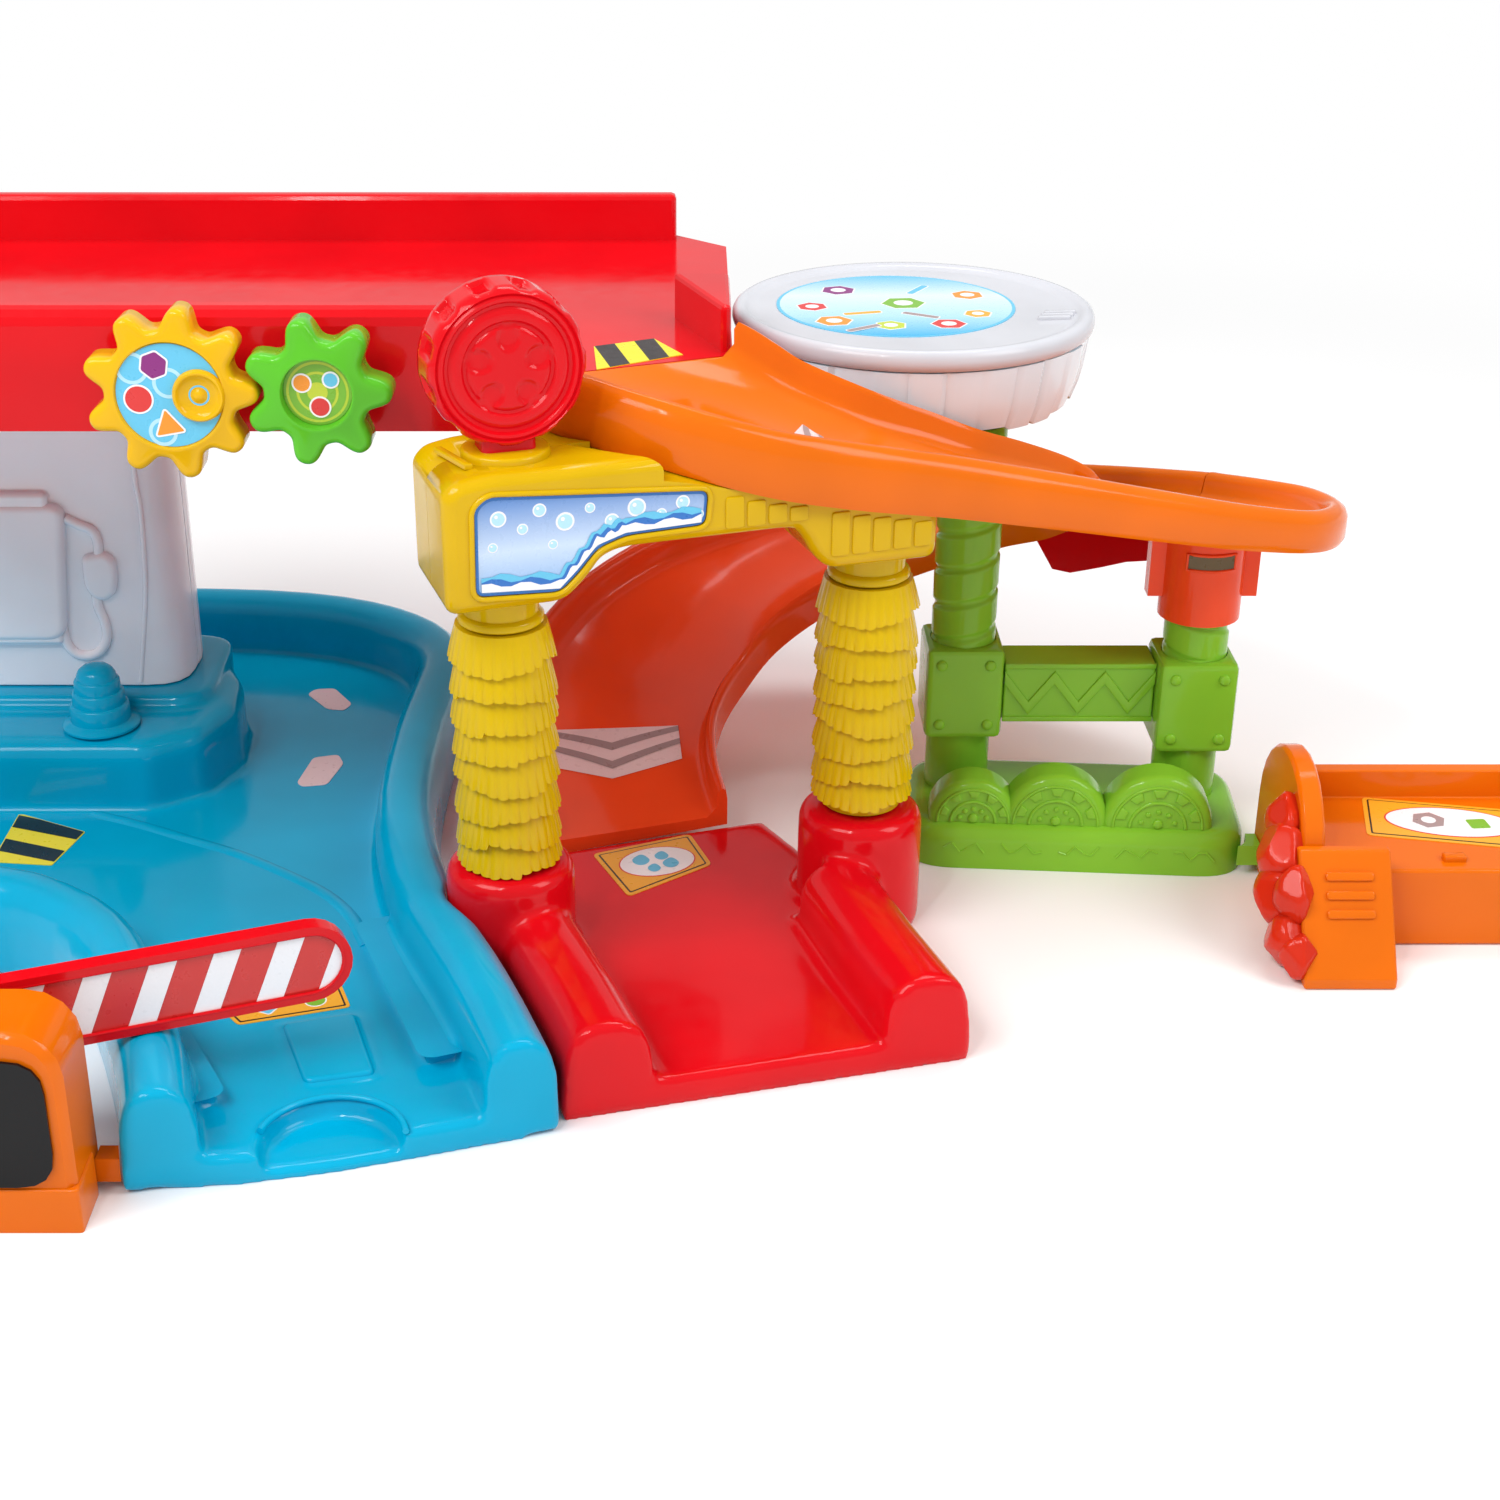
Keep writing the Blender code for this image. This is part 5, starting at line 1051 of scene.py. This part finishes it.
def build_medallion():
    """Wheel with a notched tread, ring beads and shallow dimples round its hub."""
    columns = MEDALLION_NOTCHES * MEDALLION_STEPS_PER_NOTCH
    thick = MEDALLION_FRONT - MEDALLION_BACK
    tread = ((0.90, -thick, 0.0), (0.97, -thick + 0.0008, 0.0), (1.0, -thick + 0.0026, 0.0),
             (1.0, -thick * 0.74, 0.0), (1.0, -thick * 0.70, 1.0), (1.0, -thick * 0.26, 1.0),
             (1.0, -thick * 0.20, 0.7), (0.985, -0.0022, 0.45), (0.955, -0.0009, 0.2), (0.925, -0.0003, 0.0))
    rings = []
    for share, proud, notched in tread + tuple((share, proud, 0.0) for share, proud in MEDALLION_RINGS):
        ring = []
        for k, angle in enumerate(turns_of(columns)):
            phase = k / MEDALLION_STEPS_PER_NOTCH % 1.0
            notch = min(1.0, max(0.0, (0.24 - abs(phase - 0.5)) / 0.05))
            radius = MEDALLION_RADIUS * share - MEDALLION_NOTCH_DEPTH * notch * notched
            a, b = radius * math.cos(angle), radius * math.sin(angle)
            sunk = 0.0
            for j in range(MEDALLION_DIMPLES):
                turn = math.tau * (j + 0.25) / MEDALLION_DIMPLES
                off = MEDALLION_DIMPLE_SHARE * MEDALLION_RADIUS
                reach = math.hypot(a - off * math.cos(turn), b - off * math.sin(turn))
                sunk = max(sunk, min(1.0, max(0.0, (0.0040 - reach) / 0.0012)))
            ring.append(medallion_face(a, b, proud - 0.0009 * sunk))
        rings.append(ring)
    wheel = loft(rings)
    half_across, half_deep = (value / 2 for value in MEDALLION_NECK)
    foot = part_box("arch_front_shell")[1].z
    middle = (MEDALLION_BACK + MEDALLION_FRONT) / 2
    outline = rounded(oblong(-half_across, -half_deep, half_across, half_deep), half_deep / 2)
    neck_rings = []
    for grow, height in ((1.06, 0.0), (1.0, 0.0025), (0.94, 0.0190)):
        neck_rings.append([(*arch_plan(MEDALLION_OFFSET + a * grow, middle + b * grow), foot + height)
                           for a, b in outline])
    shown("medallion_wheel", [wheel, loft(neck_rings)], RED, instead="wheel_medallion")


def tooth_radius(turn, teeth, root, tip):
    """Radius of the gear's edge at an angle from the middle of a tooth."""
    pitch = math.tau / teeth
    width = abs((turn / pitch + 0.5) % 1.0 - 0.5) * 2
    for (wide, low), (narrow, high) in zip(TOOTH_SHARES[:-1], TOOTH_SHARES[1:]):
        if narrow <= width <= wide:
            share = low + (high - low) * (wide - width) / (wide - narrow)
            return root + (tip - root) * share
    return tip if width < TOOTH_SHARES[-1][0] else root


def build_gear(colour, size, recess, material):
    """Toothed wheel with soft edges and a sunk round panel, built in rings about its centre."""
    cx, cz, teeth, root, tip, panel = size

    def place(a, b, proud):
        return (cx + a, GEAR_FRONT - proud, cz + b)

    columns = teeth * 40
    turns = turns_of(columns)
    raw = [tooth_radius(turn, teeth, root, tip) for turn in turns]
    window = 3
    radii = [sum(raw[(k + j) % columns] for j in range(-window, window + 1)) / (2 * window + 1)
             for k in range(columns)]
    edge = [(r * math.cos(t), r * math.sin(t)) for r, t in zip(radii, turns)]
    thick = GEAR_BACK - GEAR_FRONT
    rings = [[place(a, b, -thick) for a, b in grown(edge, -0.0004)],
             [place(a, b, -thick + 0.0005) for a, b in edge]]
    for k in range(5):
        turn = math.pi / 2 * k / 4
        inner = grown(edge, -GEAR_EDGE * (1 - math.cos(turn)))
        rings.append([place(a, b, GEAR_EDGE * (math.sin(turn) - 1)) for a, b in inner])
    for out, proud in GEAR_LIP + ((-0.0003, -recess),):
        rings.append([place((panel + out) * math.cos(t), (panel + out) * math.sin(t), proud) for t in turns])
    gear = colour + "_gear"
    shown(gear + "_fine", loft(rings), material, gear, 45.0, gear)
    return place


def build_cup(place):
    """Round finger cup with a raised lip, off centre on the yellow gear."""
    rings = [[place(a, b, proud) for a, b in circle((CUP_OFFSET, 0.0), CUP_RADIUS * share)]
             for share, proud in CUP_PROFILE]
    shown("yellow_gear_cup", loft(rings), YELLOW_GEAR, "yellow_gear", 45.0)


def regular(centre, radius, sides, turn_deg=90.0):
    turns = [math.radians(turn_deg) + turn for turn in turns_of(sides)]
    return [(centre[0] + radius * math.cos(t), centre[1] + radius * math.sin(t)) for t in turns]


def bordered(outline, ink, border=0.0006):
    """Two layers: a pale border and the shape inside it."""
    return [(grown(outline, border), INK_WHITE), (outline, ink)]


def framed(corners, radius, margin=0.0016, line=0.0006):
    """Three layers of a sign: amber, a thin black line and amber again."""
    rings = [rounded(grown(corners, -inset), max(radius - inset, line)) for inset in (0.0, margin, margin + line)]
    return list(zip(rings, (INK_AMBER, INK_BLACK, INK_AMBER)))


def dress_gears():
    place = build_gear("yellow", YELLOW_GEAR_SIZE, YELLOW_RECESS, YELLOW_GEAR)
    build_cup(place)
    radius = YELLOW_GEAR_SIZE[5] - 0.0004
    layers = [(circle((0, 0), radius, 72), INK_SKY)]
    for centre, size in (((-0.0110, 0.0088), 0.0052), ((-0.0030, -0.0120), 0.0046), ((0.0, 0.0040), 0.0050)):
        layers += [(circle(centre, size), INK_PALE_SKY), (circle(centre, size - 0.0012), INK_SKY)]
    layers += bordered(rounded(regular((-0.0040, 0.0098), 0.0044, 6, 20.0), 0.0006), INK_PURPLE)
    layers += bordered(circle((-0.0098, -0.0012), 0.0042), INK_RED)
    layers += bordered(rounded(regular((-0.0010, -0.0098), 0.0052, 3, 100.0), 0.0007), INK_ORANGE)
    printed("yellow_gear_print", layers, place, "yellow_gear", -YELLOW_RECESS, "yellow_gear_label")
    place = build_gear("green", GREEN_GEAR_SIZE, GREEN_RECESS, GREEN_GEAR)
    radius = GREEN_GEAR_SIZE[5] - 0.0004
    layers = [(circle((0, 0), radius), INK_LEAF)]
    for share, ink in ((0.92, INK_LIME), (0.84, INK_LEAF), (0.62, INK_LIME), (0.54, INK_LEAF), (0.30, INK_LIME)):
        layers.append((circle((0, 0), radius * share), ink))
    layers += bordered(circle((-0.0048, 0.0030), 0.0026), INK_ORANGE)
    layers += bordered(circle((0.0044, 0.0040), 0.0022), INK_SKY)
    layers += bordered(circle((0.0006, -0.0048), 0.0029), INK_RED)
    printed("green_gear_print", layers, place, "green_gear", -GREEN_RECESS, "green_gear_label")


def build_post(side, groove_start):
    """Round post with a spiral groove above its clamp; the two posts wind opposite ways."""
    hand = 1 if side == "left" else -1
    low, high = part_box(side + "_post")
    cx, cy = centre_of(side + "_post")
    radius = (high.x - low.x) / 2
    rows = max(3, round((high.z - groove_start) / GROOVE_PITCH * POST_ROWS_PER_PITCH))
    heights = [low.z, groove_start] + [groove_start + (high.z - groove_start) * k / rows
                                       for k in range(1, rows + 1)]
    rings = []
    for z in heights:
        ring = []
        for k, angle in enumerate(turns_of(POST_COLUMNS)):
            phase = (z / GROOVE_PITCH - hand * k / POST_COLUMNS) % 1.0
            distance = min(phase, 1 - phase) / GROOVE_WIDTH_SHARE
            depth = GROOVE_DEPTH * max(0.0, 1 - distance ** 2) if z > groove_start else 0.0
            r = radius - depth
            ring.append((cx + r * math.cos(angle), cy + r * math.sin(angle), z))
        rings.append(ring)
    shown(side + "_post_grooved", loft(rings), GREEN, ROOT, 50.0, side + "_post")


def stand_plan(along, back):
    yaw = math.radians(STAND_YAW_DEG)
    x = STAND_CORNER[0] + along * math.cos(yaw) - back * math.sin(yaw)
    y = STAND_CORNER[1] + along * math.sin(yaw) + back * math.cos(yaw)
    return x, y


def facing(y):
    """Place on an upright face at a depth, looking at it from the front."""
    def place(x, z, proud):
        return (x, y - proud, z)
    return place


def build_stand_base():
    """Soft-edged slab with three half tyres standing on its front."""
    def on_ground(a, b, proud):
        return (*stand_plan(a, b), proud)
    outline = rounded(oblong(0.0, 0.0, STAND_LENGTH, STAND_DEPTH), STAND_ROUND, 8)
    parts = [pillow(outline, on_ground, STAND_TOP, STAND_EDGE, 6, root=0.0)]
    for along, radius in TYRES:
        def place(a, b, proud, along=along):
            return (*stand_plan(along + a, TYRE_BACK - proud), STAND_TOP + b)
        half = [(radius * math.cos(math.pi * k / 32), radius * math.sin(math.pi * k / 32)) for k in range(33)]
        half += [(-radius, -TYRE_SINK), (radius, -TYRE_SINK)]
        parts.append(pillow(half, place, TYRE_BACK - TYRE_FACE, TYRE_EDGE, 5, root=0.0))
    shown("stand_base_fine", parts, GREEN, instead="stand_base")


def build_tyre(order, along, radius):
    """Tread pads, hub ring and studs on the front of a half tyre."""
    def place(a, b, proud):
        return (*stand_plan(along + a, TYRE_FACE - proud), STAND_TOP + b)

    parts = []
    for k in range(5):
        middle = math.radians(22 + 34 * k)
        pad = []
        for share, half in ((0.62, 7.0), (0.79, 10.0)):
            turns = [middle + math.radians(half * t) for t in (-1.0, -0.5, 0.0, 0.5, 1.0)]
            if share > 0.7:
                turns.reverse()
            pad += [(radius * share * math.cos(t) * 0.985, radius * share * math.sin(t) * 0.985) for t in turns]
        parts.append(pillow(pad[::-1], place, 0.0008, 0.0005))
    for share, thick in ((0.50, 0.0007), (0.80, 0.0006)):
        arc = [place(radius * share * math.cos(math.pi * k / 24), radius * share * math.sin(math.pi * k / 24), 0.0)
               for k in range(25)]
        parts.append(bead(arc, thick))
    for k in range(5):
        turn = math.radians(20 + 35 * k)
        spot = (radius * 0.32 * math.cos(turn), radius * 0.32 * math.sin(turn))
        parts.append(button(place, spot, 0.0010, 0.0008))
    parts.append(button(place, (0.0, 0.0016), 0.0019, 0.0012))
    shown("tyre_relief_%d" % order, parts, GREEN)


def dress_stand():
    for side in ("left", "right"):
        low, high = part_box(side + "_clamp")
        build_post(side, high.z)
        softened(0.0022, GREEN, side + "_clamp")
        studs = [button(facing(low.y), (x, z), 0.0021, 0.0012)
                 for x in (low.x + 0.0055, high.x - 0.0055) for z in (low.z + 0.0060, high.z - 0.0060)]
        shown(side + "_clamp_studs", studs, GREEN)
    softened(0.0008, GREEN, "stand_beam")
    build_stand_base()
    painted(GREEN, "link_clip")
    low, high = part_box("stand_beam")
    place = facing(low.y)
    middle = (low.z + high.z) / 2
    swing = (high.z - low.z) / 2 - 0.0056
    zigzag = [(low.x + (high.x - low.x) * k / BEAM_ZIGS, middle + swing * (-1 if k % 2 else 1))
              for k in range(BEAM_ZIGS + 1)]
    parts = [pillow(ribbon(zigzag, 0.0052), place, 0.0009, 0.0004)]
    for foot in (low.z, high.z - 0.0020):
        parts.append(pillow(oblong(low.x, foot, high.x, foot + 0.0020), place, 0.0008, 0.0004))
    shown("beam_relief", parts, GREEN)
    for order, (along, radius) in enumerate(TYRES):
        build_tyre(order + 1, along, radius)
    cracks = []
    for start in range(5):
        path = []
        for k in range(6):
            along = 0.014 + 0.0212 * start + 0.0030 * k
            up = 0.0086 + 0.0022 * math.sin(2.1 * k + 1.7 * start)
            path.append((*stand_plan(along, 0.0001), up))
        cracks.append(bead(path, 0.0005, segments=6))
    shown("base_cracks", cracks, GREEN)
    dress_socket()


def dress_socket():
    """Ramp holder: soft edges, a lower lip, and the slot in its front as a dark olive film of painted shade inside a
    rim.
    """
    softened(0.0012, DEEP_ORANGE, "ramp_socket")
    cx, cy = centre_of("right_post")
    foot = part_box("ramp_socket")[0].z
    lip = [(radius, foot + rise) for radius, rise in SOCKET_LIP]
    shown("socket_lip", turned(lip, (cx, cy)), DEEP_ORANGE)

    def place(a, b, proud):
        turn = a / SOCKET_RADIUS
        radius = SOCKET_RADIUS + proud
        return (cx + radius * math.sin(turn), cy - radius * math.cos(turn), foot + b)
    slot = [(SLOT_START + SLOT_STEP * k, SLOT_FOOT) for k in range(11)]
    slot += [(a, b + SLOT_TALL) for a, b in reversed(slot)]
    # Dark olive film of painted shade where the slot's inside lies
    printed("socket_slot_shade", [(slot, SLOT_SHADE_OLIVE)], place)
    rim = [place(a, b, 0.0002) for a, b in grown(slot, 0.0006)]
    shown("socket_slot_rim", bead(rim, 0.0006, loop=True), DEEP_ORANGE)


def build_skirt():
    """Drum under the tray: upright boards of uneven length with grooves between them."""
    cx, cy = PLATFORM_CENTRE
    rings = [[] for _ in range(len(SKIRT_LEVELS) + 2)]
    for k, angle in enumerate(turns_of(SKIRT_PLANKS * SKIRT_COLUMNS)):
        plank, share = divmod(k, SKIRT_COLUMNS)
        groove = 0.0006 if share == 0 else 0.0
        step = 0.0004 * math.sin(plank * 2.4) + 0.0003 * (plank % 2)
        drop = 0.0011 + 0.0010 * math.sin(plank * 1.9) if share else 0.0018
        heading = Vector((math.cos(angle), math.sin(angle)))
        foot = SKIRT_LEVELS[0][0] + drop
        spots = [(SKIRT_LEVELS[0][1] - 0.0030, foot), (SKIRT_LEVELS[0][1] + step - groove, foot)]
        spots += [(radius + step - groove, height + drop * (0.186 - height) / 0.025)
                  for height, radius in SKIRT_LEVELS[1:]]
        spots.append((SKIRT_TOP_RADIUS, SKIRT_LEVELS[-1][0]))
        for ring, (radius, height) in zip(rings, spots):
            ring.append((cx + heading.x * radius, cy + heading.y * radius, height))
    # Drum in the lighter, bluer white of painted light
    shown("platform_skirt", loft(rings), DRUM_WHITE_PAINTED_LIGHT, ROOT, 30.0, "platform_body")


def dress_platform():
    build_skirt()
    # Tray in the greyer white of painted shade
    shown("platform_tray", turned(LID_PROFILE, PLATFORM_CENTRE, 96), TRAY_WHITE_PAINTED_SHADE, instead="platform_lid")
    low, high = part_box("platform_label")
    middle = centre_of("platform_label")
    radius = (high.x - low.x) / 2
    place = flat_at(LID_FLOOR)
    layers = [(circle(middle, radius, 96), INK_SKY), (circle(middle, radius - 0.0012, 96), INK_TRAY)]
    for across, back, size, turn, ink in PLATFORM_NUTS:
        spot = (middle[0] + across, middle[1] + back)
        layers += bordered(regular(spot, size, 6, turn), ink) + [(circle(spot, size * 0.45, 32), INK_WHITE)]
    for across, back, turn, ink in PLATFORM_BARS:
        along = Vector((math.cos(math.radians(turn)), math.sin(math.radians(turn))))
        side = Vector((-along.y, along.x))
        spot = Vector((middle[0] + across, middle[1] + back))
        bar = [tuple(spot + along * a * 0.0070 + side * b * 0.0013) for a, b in oblong(-1, -1, 1, 1)]
        layers += bordered(rounded(bar, 0.0008, 3), ink, 0.0005)
    printed("platform_print", layers, place, instead="platform_label")
    ribs = []
    for k in range(3):
        x, y = 0.1260 + 0.0015 * k, 0.1175 + 0.0036 * k
        outline = [(x, y), (x + 0.0120, y + 0.0010), (x + 0.0120, y + 0.0032), (x, y + 0.0022)]
        ribs.append(pillow(rounded(outline, 0.0008, 3), place, 0.0014, 0.0007))
    # Ribs in the tray's greyer white of painted shade
    shown("tray_ribs", ribs, TRAY_WHITE_PAINTED_SHADE)


def build_rock(order, centre, size, phase):
    """Lump of moulded rock with flattened sides."""
    work = bmesh.new()
    bmesh.ops.create_icosphere(work, subdivisions=4, radius=1.0)
    facets = [Vector((math.sin(1.3 * k + phase), math.cos(2.1 * k + phase), math.sin(0.9 * k + 2 * phase)))
              for k in range(12)]
    for vert in work.verts:
        way = vert.co.normalized()
        reach = min(1.0, min(0.80 / max(way.dot(facet.normalized()), 0.05) for facet in facets))
        vert.co = Vector([way[j] * reach * size[j] + centre[j] for j in range(3)])
    # Darker red of painted shade, in place of the wall's orange
    shown("rock_%d" % order, written(work), ROCK_SHADE_RED, smooth_deg=50.0)


def dress_bay():
    softened(0.0010, ORANGE, "bay_base")
    softened(0.0020, ORANGE, "bay_side_wall")
    softened(0.0014, ORANGE, "bay_flap")
    low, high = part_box("bay_base")
    place = flat_at(BAY_DECK)
    oval = [(0.2735 + 0.0225 * math.cos(t) * 0.985 + 0.0030 * math.sin(t),
             0.0355 + 0.0105 * math.sin(t) - 0.0042 * math.cos(t)) for t in turns_of(48)]
    layers = framed(BAY_SIGN, 0.0025) + [(grown(oval, 0.0006), INK_RED), (oval, INK_WHITE)]
    layers += bordered(regular(BAY_NUT, 0.0062, 6, 12.0), INK_GREY, 0.0004)
    layers += [(circle(BAY_NUT, 0.0026, 24), INK_WHITE)]
    layers += bordered(rounded(regular((0.2830, 0.0340), 0.0050, 4, 50.0), 0.0010), INK_LEAF, 0.0004)
    printed("bay_sign", layers, place)
    blocks = []
    for inset in (0.0130, 0.0430, 0.0730):
        left, front = low.x + inset, 0.0060
        block = rounded(oblong(left, front, left + 0.0080, front + 0.0040), 0.0008, 3)
        blocks.append(pillow(block, place, 0.0022, 0.0008))
    shown("bay_stops", blocks, ORANGE)
    low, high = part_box("bay_flap")
    top, toe = Vector(FLAP_TOP), Vector(FLAP_TOE)
    slope = (toe - top).normalized()

    def on_flap(x, down, proud):
        spot = top + slope * down + Vector((slope.y, -slope.x)) * proud
        return (x, spot.x, spot.y)
    ribs = []
    for down in (0.0075, 0.0140, 0.0205):
        rib = rounded(oblong(low.x + 0.0085, down, high.x - 0.0065, down + 0.0030), 0.0012, 3)
        ribs.append(pillow(rib, on_flap, 0.0010, 0.0005))
    shown("flap_ribs", ribs, ORANGE)
    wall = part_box("bay_side_wall")[0].x
    for order, ((off_wall, back, up), size) in enumerate(ROCKS):
        build_rock(order + 1, (wall + off_wall, back, up), size, 0.7 * order)


def barrier_place(side):
    """Place on the front (1) or back (-1) of the barrier panel, from the pivot."""
    yaw = math.radians(BARRIER_YAW_DEG)
    along = Vector((math.cos(yaw), math.sin(yaw), 0.0))
    front = Vector((math.sin(yaw), -math.cos(yaw), 0.0)) * side

    def place(a, b, proud):
        return tuple(Vector(BARRIER_PIVOT) + along * a + front * proud + Vector((0.0, 0.0, b)))
    return place


def dress_barrier():
    softened(0.0012, RED, "barrier_arm")
    painted(INK_SIGNAL, "barrier_panel")
    inner = BARRIER_HALF - BARRIER_RIM
    turns = [math.radians(-90 + 180 * k / 16) for k in range(17)]
    nose = [(BARRIER_STRAIGHT + inner * math.cos(t), inner * math.sin(t)) for t in turns]
    window = [(BARRIER_WINDOW_START, -inner)] + nose + [(BARRIER_WINDOW_START, inner)]
    trim = grown(window, -0.0005)
    face = BARRIER_THICK / 2 - BARRIER_PANEL_SINK
    starts = [STRIPE_START + STRIPE_PITCH * k for k in range(STRIPE_COUNT)]
    bands = [[(start, -inner), (start + STRIPE_WIDTH, -inner),
              (start + STRIPE_WIDTH + STRIPE_SLANT, inner), (start + STRIPE_SLANT, inner)] for start in starts]
    stripes = [stripe for stripe in (clipped(band, trim) for band in bands) if stripe]
    for side, label in ((1, "front"), (-1, "back")):
        # Stripes share one level, because none of them overlap
        for order, stripe in enumerate(stripes):
            printed("barrier_stripe_%s_%d" % (label, order + 1), [(stripe[::side], INK_WHITE)],
                    barrier_place(side), "barrier", face)
    place = barrier_place(1)
    rim = [place(a, b, BARRIER_THICK / 2 - 0.0006) for a, b in window]
    shown("barrier_rim", bead(rim, 0.0007, loop=True), RED, "barrier")
    softened(0.0010, ORANGE, "barrier_post")
    painted(ORANGE, "booth_link")
    softened(0.0040, ORANGE, "booth_shell")
    painted(BLACK, "booth_window")
    low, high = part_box("booth_shell")
    band = [(low.x + 0.0010, low.y - 0.0010), (high.x + 0.0008, low.y - 0.0010), (high.x + 0.0008, low.y + 0.0185),
            (high.x - 0.0020, low.y + 0.0185), (high.x - 0.0020, low.y + 0.0015), (low.x + 0.0010, low.y + 0.0015)]
    skirt = pillow(rounded(band, 0.0012, 3), flat_at(0.0008), 0.0140, 0.0008)
    shown("booth_skirt", skirt, ORANGE)


def dress_pillar():
    softened(0.0008, PALE, "pillar_front_shell")
    painted(PALE, "pillar_rear_shell")
    place = facing(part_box("pillar_front_shell")[0].y + PUMP_PROUD)
    parts = [bead([place(a, b, 0.0006) for a, b in curved(path)], 0.0020) for path in (PUMP_ARM, PUMP_HOSE)]
    parts.append(pillow(rounded(PUMP_HOLSTER, 0.0030), place, 0.0036, 0.0026, 5))
    parts.append(pillow(rounded(PUMP_TANK, 0.0070), place, 0.0052, 0.0030, 5))
    shown("pump_relief", parts, PALE)
    shown("pillar_ridge", bead([place(a, b, -0.0003) for a, b in curved(PILLAR_SEAM)], 0.0010), PALE)
    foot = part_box("traffic_cone")[0].z
    profile = [(radius, foot + rise) for radius, rise in CONE_PROFILE]
    shown("traffic_cone_fine", turned(profile, centre_of("traffic_cone")), BLUE, instead="traffic_cone")


def hazard_film(name, face, window, bands, height):
    """Yellow film with the black bands that lie inside its window."""
    stripes = [stripe for stripe in (clipped(band, window) for band in bands) if stripe]
    printed(name, [(face, INK_HAZARD)] + [(stripe, INK_BLACK) for stripe in stripes], flat_at(height))


def dress_floor_prints():
    """Road dashes, hazard films, signs and ramp arrows."""
    lane = flat_at(LANE_TOP)
    for order, dash in enumerate(ROAD_DASHES):
        printed("road_dash_%d" % (order + 1), [(rounded(dash, 0.0022), INK_PINKISH)], lane)
    bands = [[(-0.2700, low + 0.0190), (-0.2200, low), (-0.2200, low + 0.0090), (-0.2700, low + 0.0290)]
             for low in (0.0380 + 0.0190 * k for k in range(2))]
    hazard_film("lane_hazard_film", rounded(LANE_HAZARD, 0.0008, 3), grown(LANE_HAZARD, -0.0004), bands, LANE_TOP)
    layers = framed(LANE_SIGN, 0.0018, 0.0012)
    layers += bordered(rounded(regular((-0.1380, -0.0585), 0.0034, 4, 20.0), 0.0008), INK_SKY, 0.0005)
    layers += bordered(circle((-0.1230, -0.0535), 0.0032, 24), INK_LEAF, 0.0005)
    printed("lane_sign", layers, lane)
    middle = Vector(WASH_SIGN_MIDDLE)
    oval = [tuple(middle + Vector((0.0132 * math.cos(t) - 0.0030 * math.sin(t),
                                   0.0100 * math.sin(t) + 0.0048 * math.cos(t)))) for t in turns_of(40)]
    layers = framed(WASH_FLOOR_SIGN, 0.0026) + [(grown(oval, 0.0005), INK_RED), (oval, INK_WHITE)]
    for across, back, size in WASH_DROPS:
        drop = [(middle.x + across + size * math.cos(t) * (1 - 0.35 * max(math.sin(t), 0.0)),
                 middle.y + back + size * 1.25 * math.sin(t)) for t in turns_of(24)]
        layers.append((drop, INK_SKY))
    printed("wash_floor_sign", layers, lane)
    bands = [[(start, 0.0400), (start + 0.0075, 0.0400), (start - 0.0045, 0.0900), (start - 0.0120, 0.0900)]
             for start in (-0.0400 + 0.0150 * k for k in range(3))]
    hazard_film("deck_hazard_film", DECK_HAZARD, DECK_HAZARD, bands, DECK_TOP)
    draped("lower_ramp_arrow", "lower_ramp", LOWER_ARROW, ARROW_BANDS)
    draped("upper_ramp_arrow", "upper_ramp", UPPER_ARROW, ARROW_BANDS)
    turns = [math.radians(10 + 160 * k / 24) for k in range(25)]
    lip = [(MOUTH_CENTRE[0] + MOUTH_RADIUS * math.cos(turn), MOUTH_CENTRE[1] + MOUTH_RADIUS * math.sin(turn),
            MOUTH_TOP) for turn in turns]
    shown("mouth_lip", bead(lip, 0.0011), BLUE)


def dress_bracket():
    """Red hanger that follows the outer edge of the lower ramp, behind the stand."""
    rings = []
    for k, (x, y, top, foot) in enumerate(HANGER_STATIONS):
        before, after = HANGER_STATIONS[max(k - 1, 0)], HANGER_STATIONS[min(k + 1, len(HANGER_STATIONS) - 1)]
        ahead = Vector(after[:2]) - Vector(before[:2])
        side = Vector((-ahead.y, ahead.x)).normalized() * 0.0015
        rings.append([(x - side.x, y - side.y, foot), (x + side.x, y + side.y, foot),
                      (x + side.x, y + side.y, top), (x - side.x, y - side.y, top)])
    shown("ramp_hanger", loft(rings), RED)


def main():
    make_camera()
    make_light()
    make_floor()
    dress_bases()
    dress_pillar()
    painted(RED, "upper_deck")
    painted(AXLE, "yellow_gear_axle", "green_gear_axle")
    smoothed("upper_ramp", ORANGE)
    smoothed("lower_ramp", DEEP_ORANGE, ORANGE, RAMP_COLOUR_CHANGE)
    dress_arch()
    for side in ("left", "right"):
        build_brush(side)
        build_collar(side)
    build_medallion()
    dress_floor_prints()
    dress_bracket()
    dress_stand()
    dress_platform()
    dress_bay()
    dress_barrier()
    dress_gears()
    softened(0.0012, RED, "lift_column_front", "lift_column_rear", "lift_head")
    softened(0.0010, BLUE, "lift_car")
    softened(0.0010, YELLOW, "lift_crank")


main()
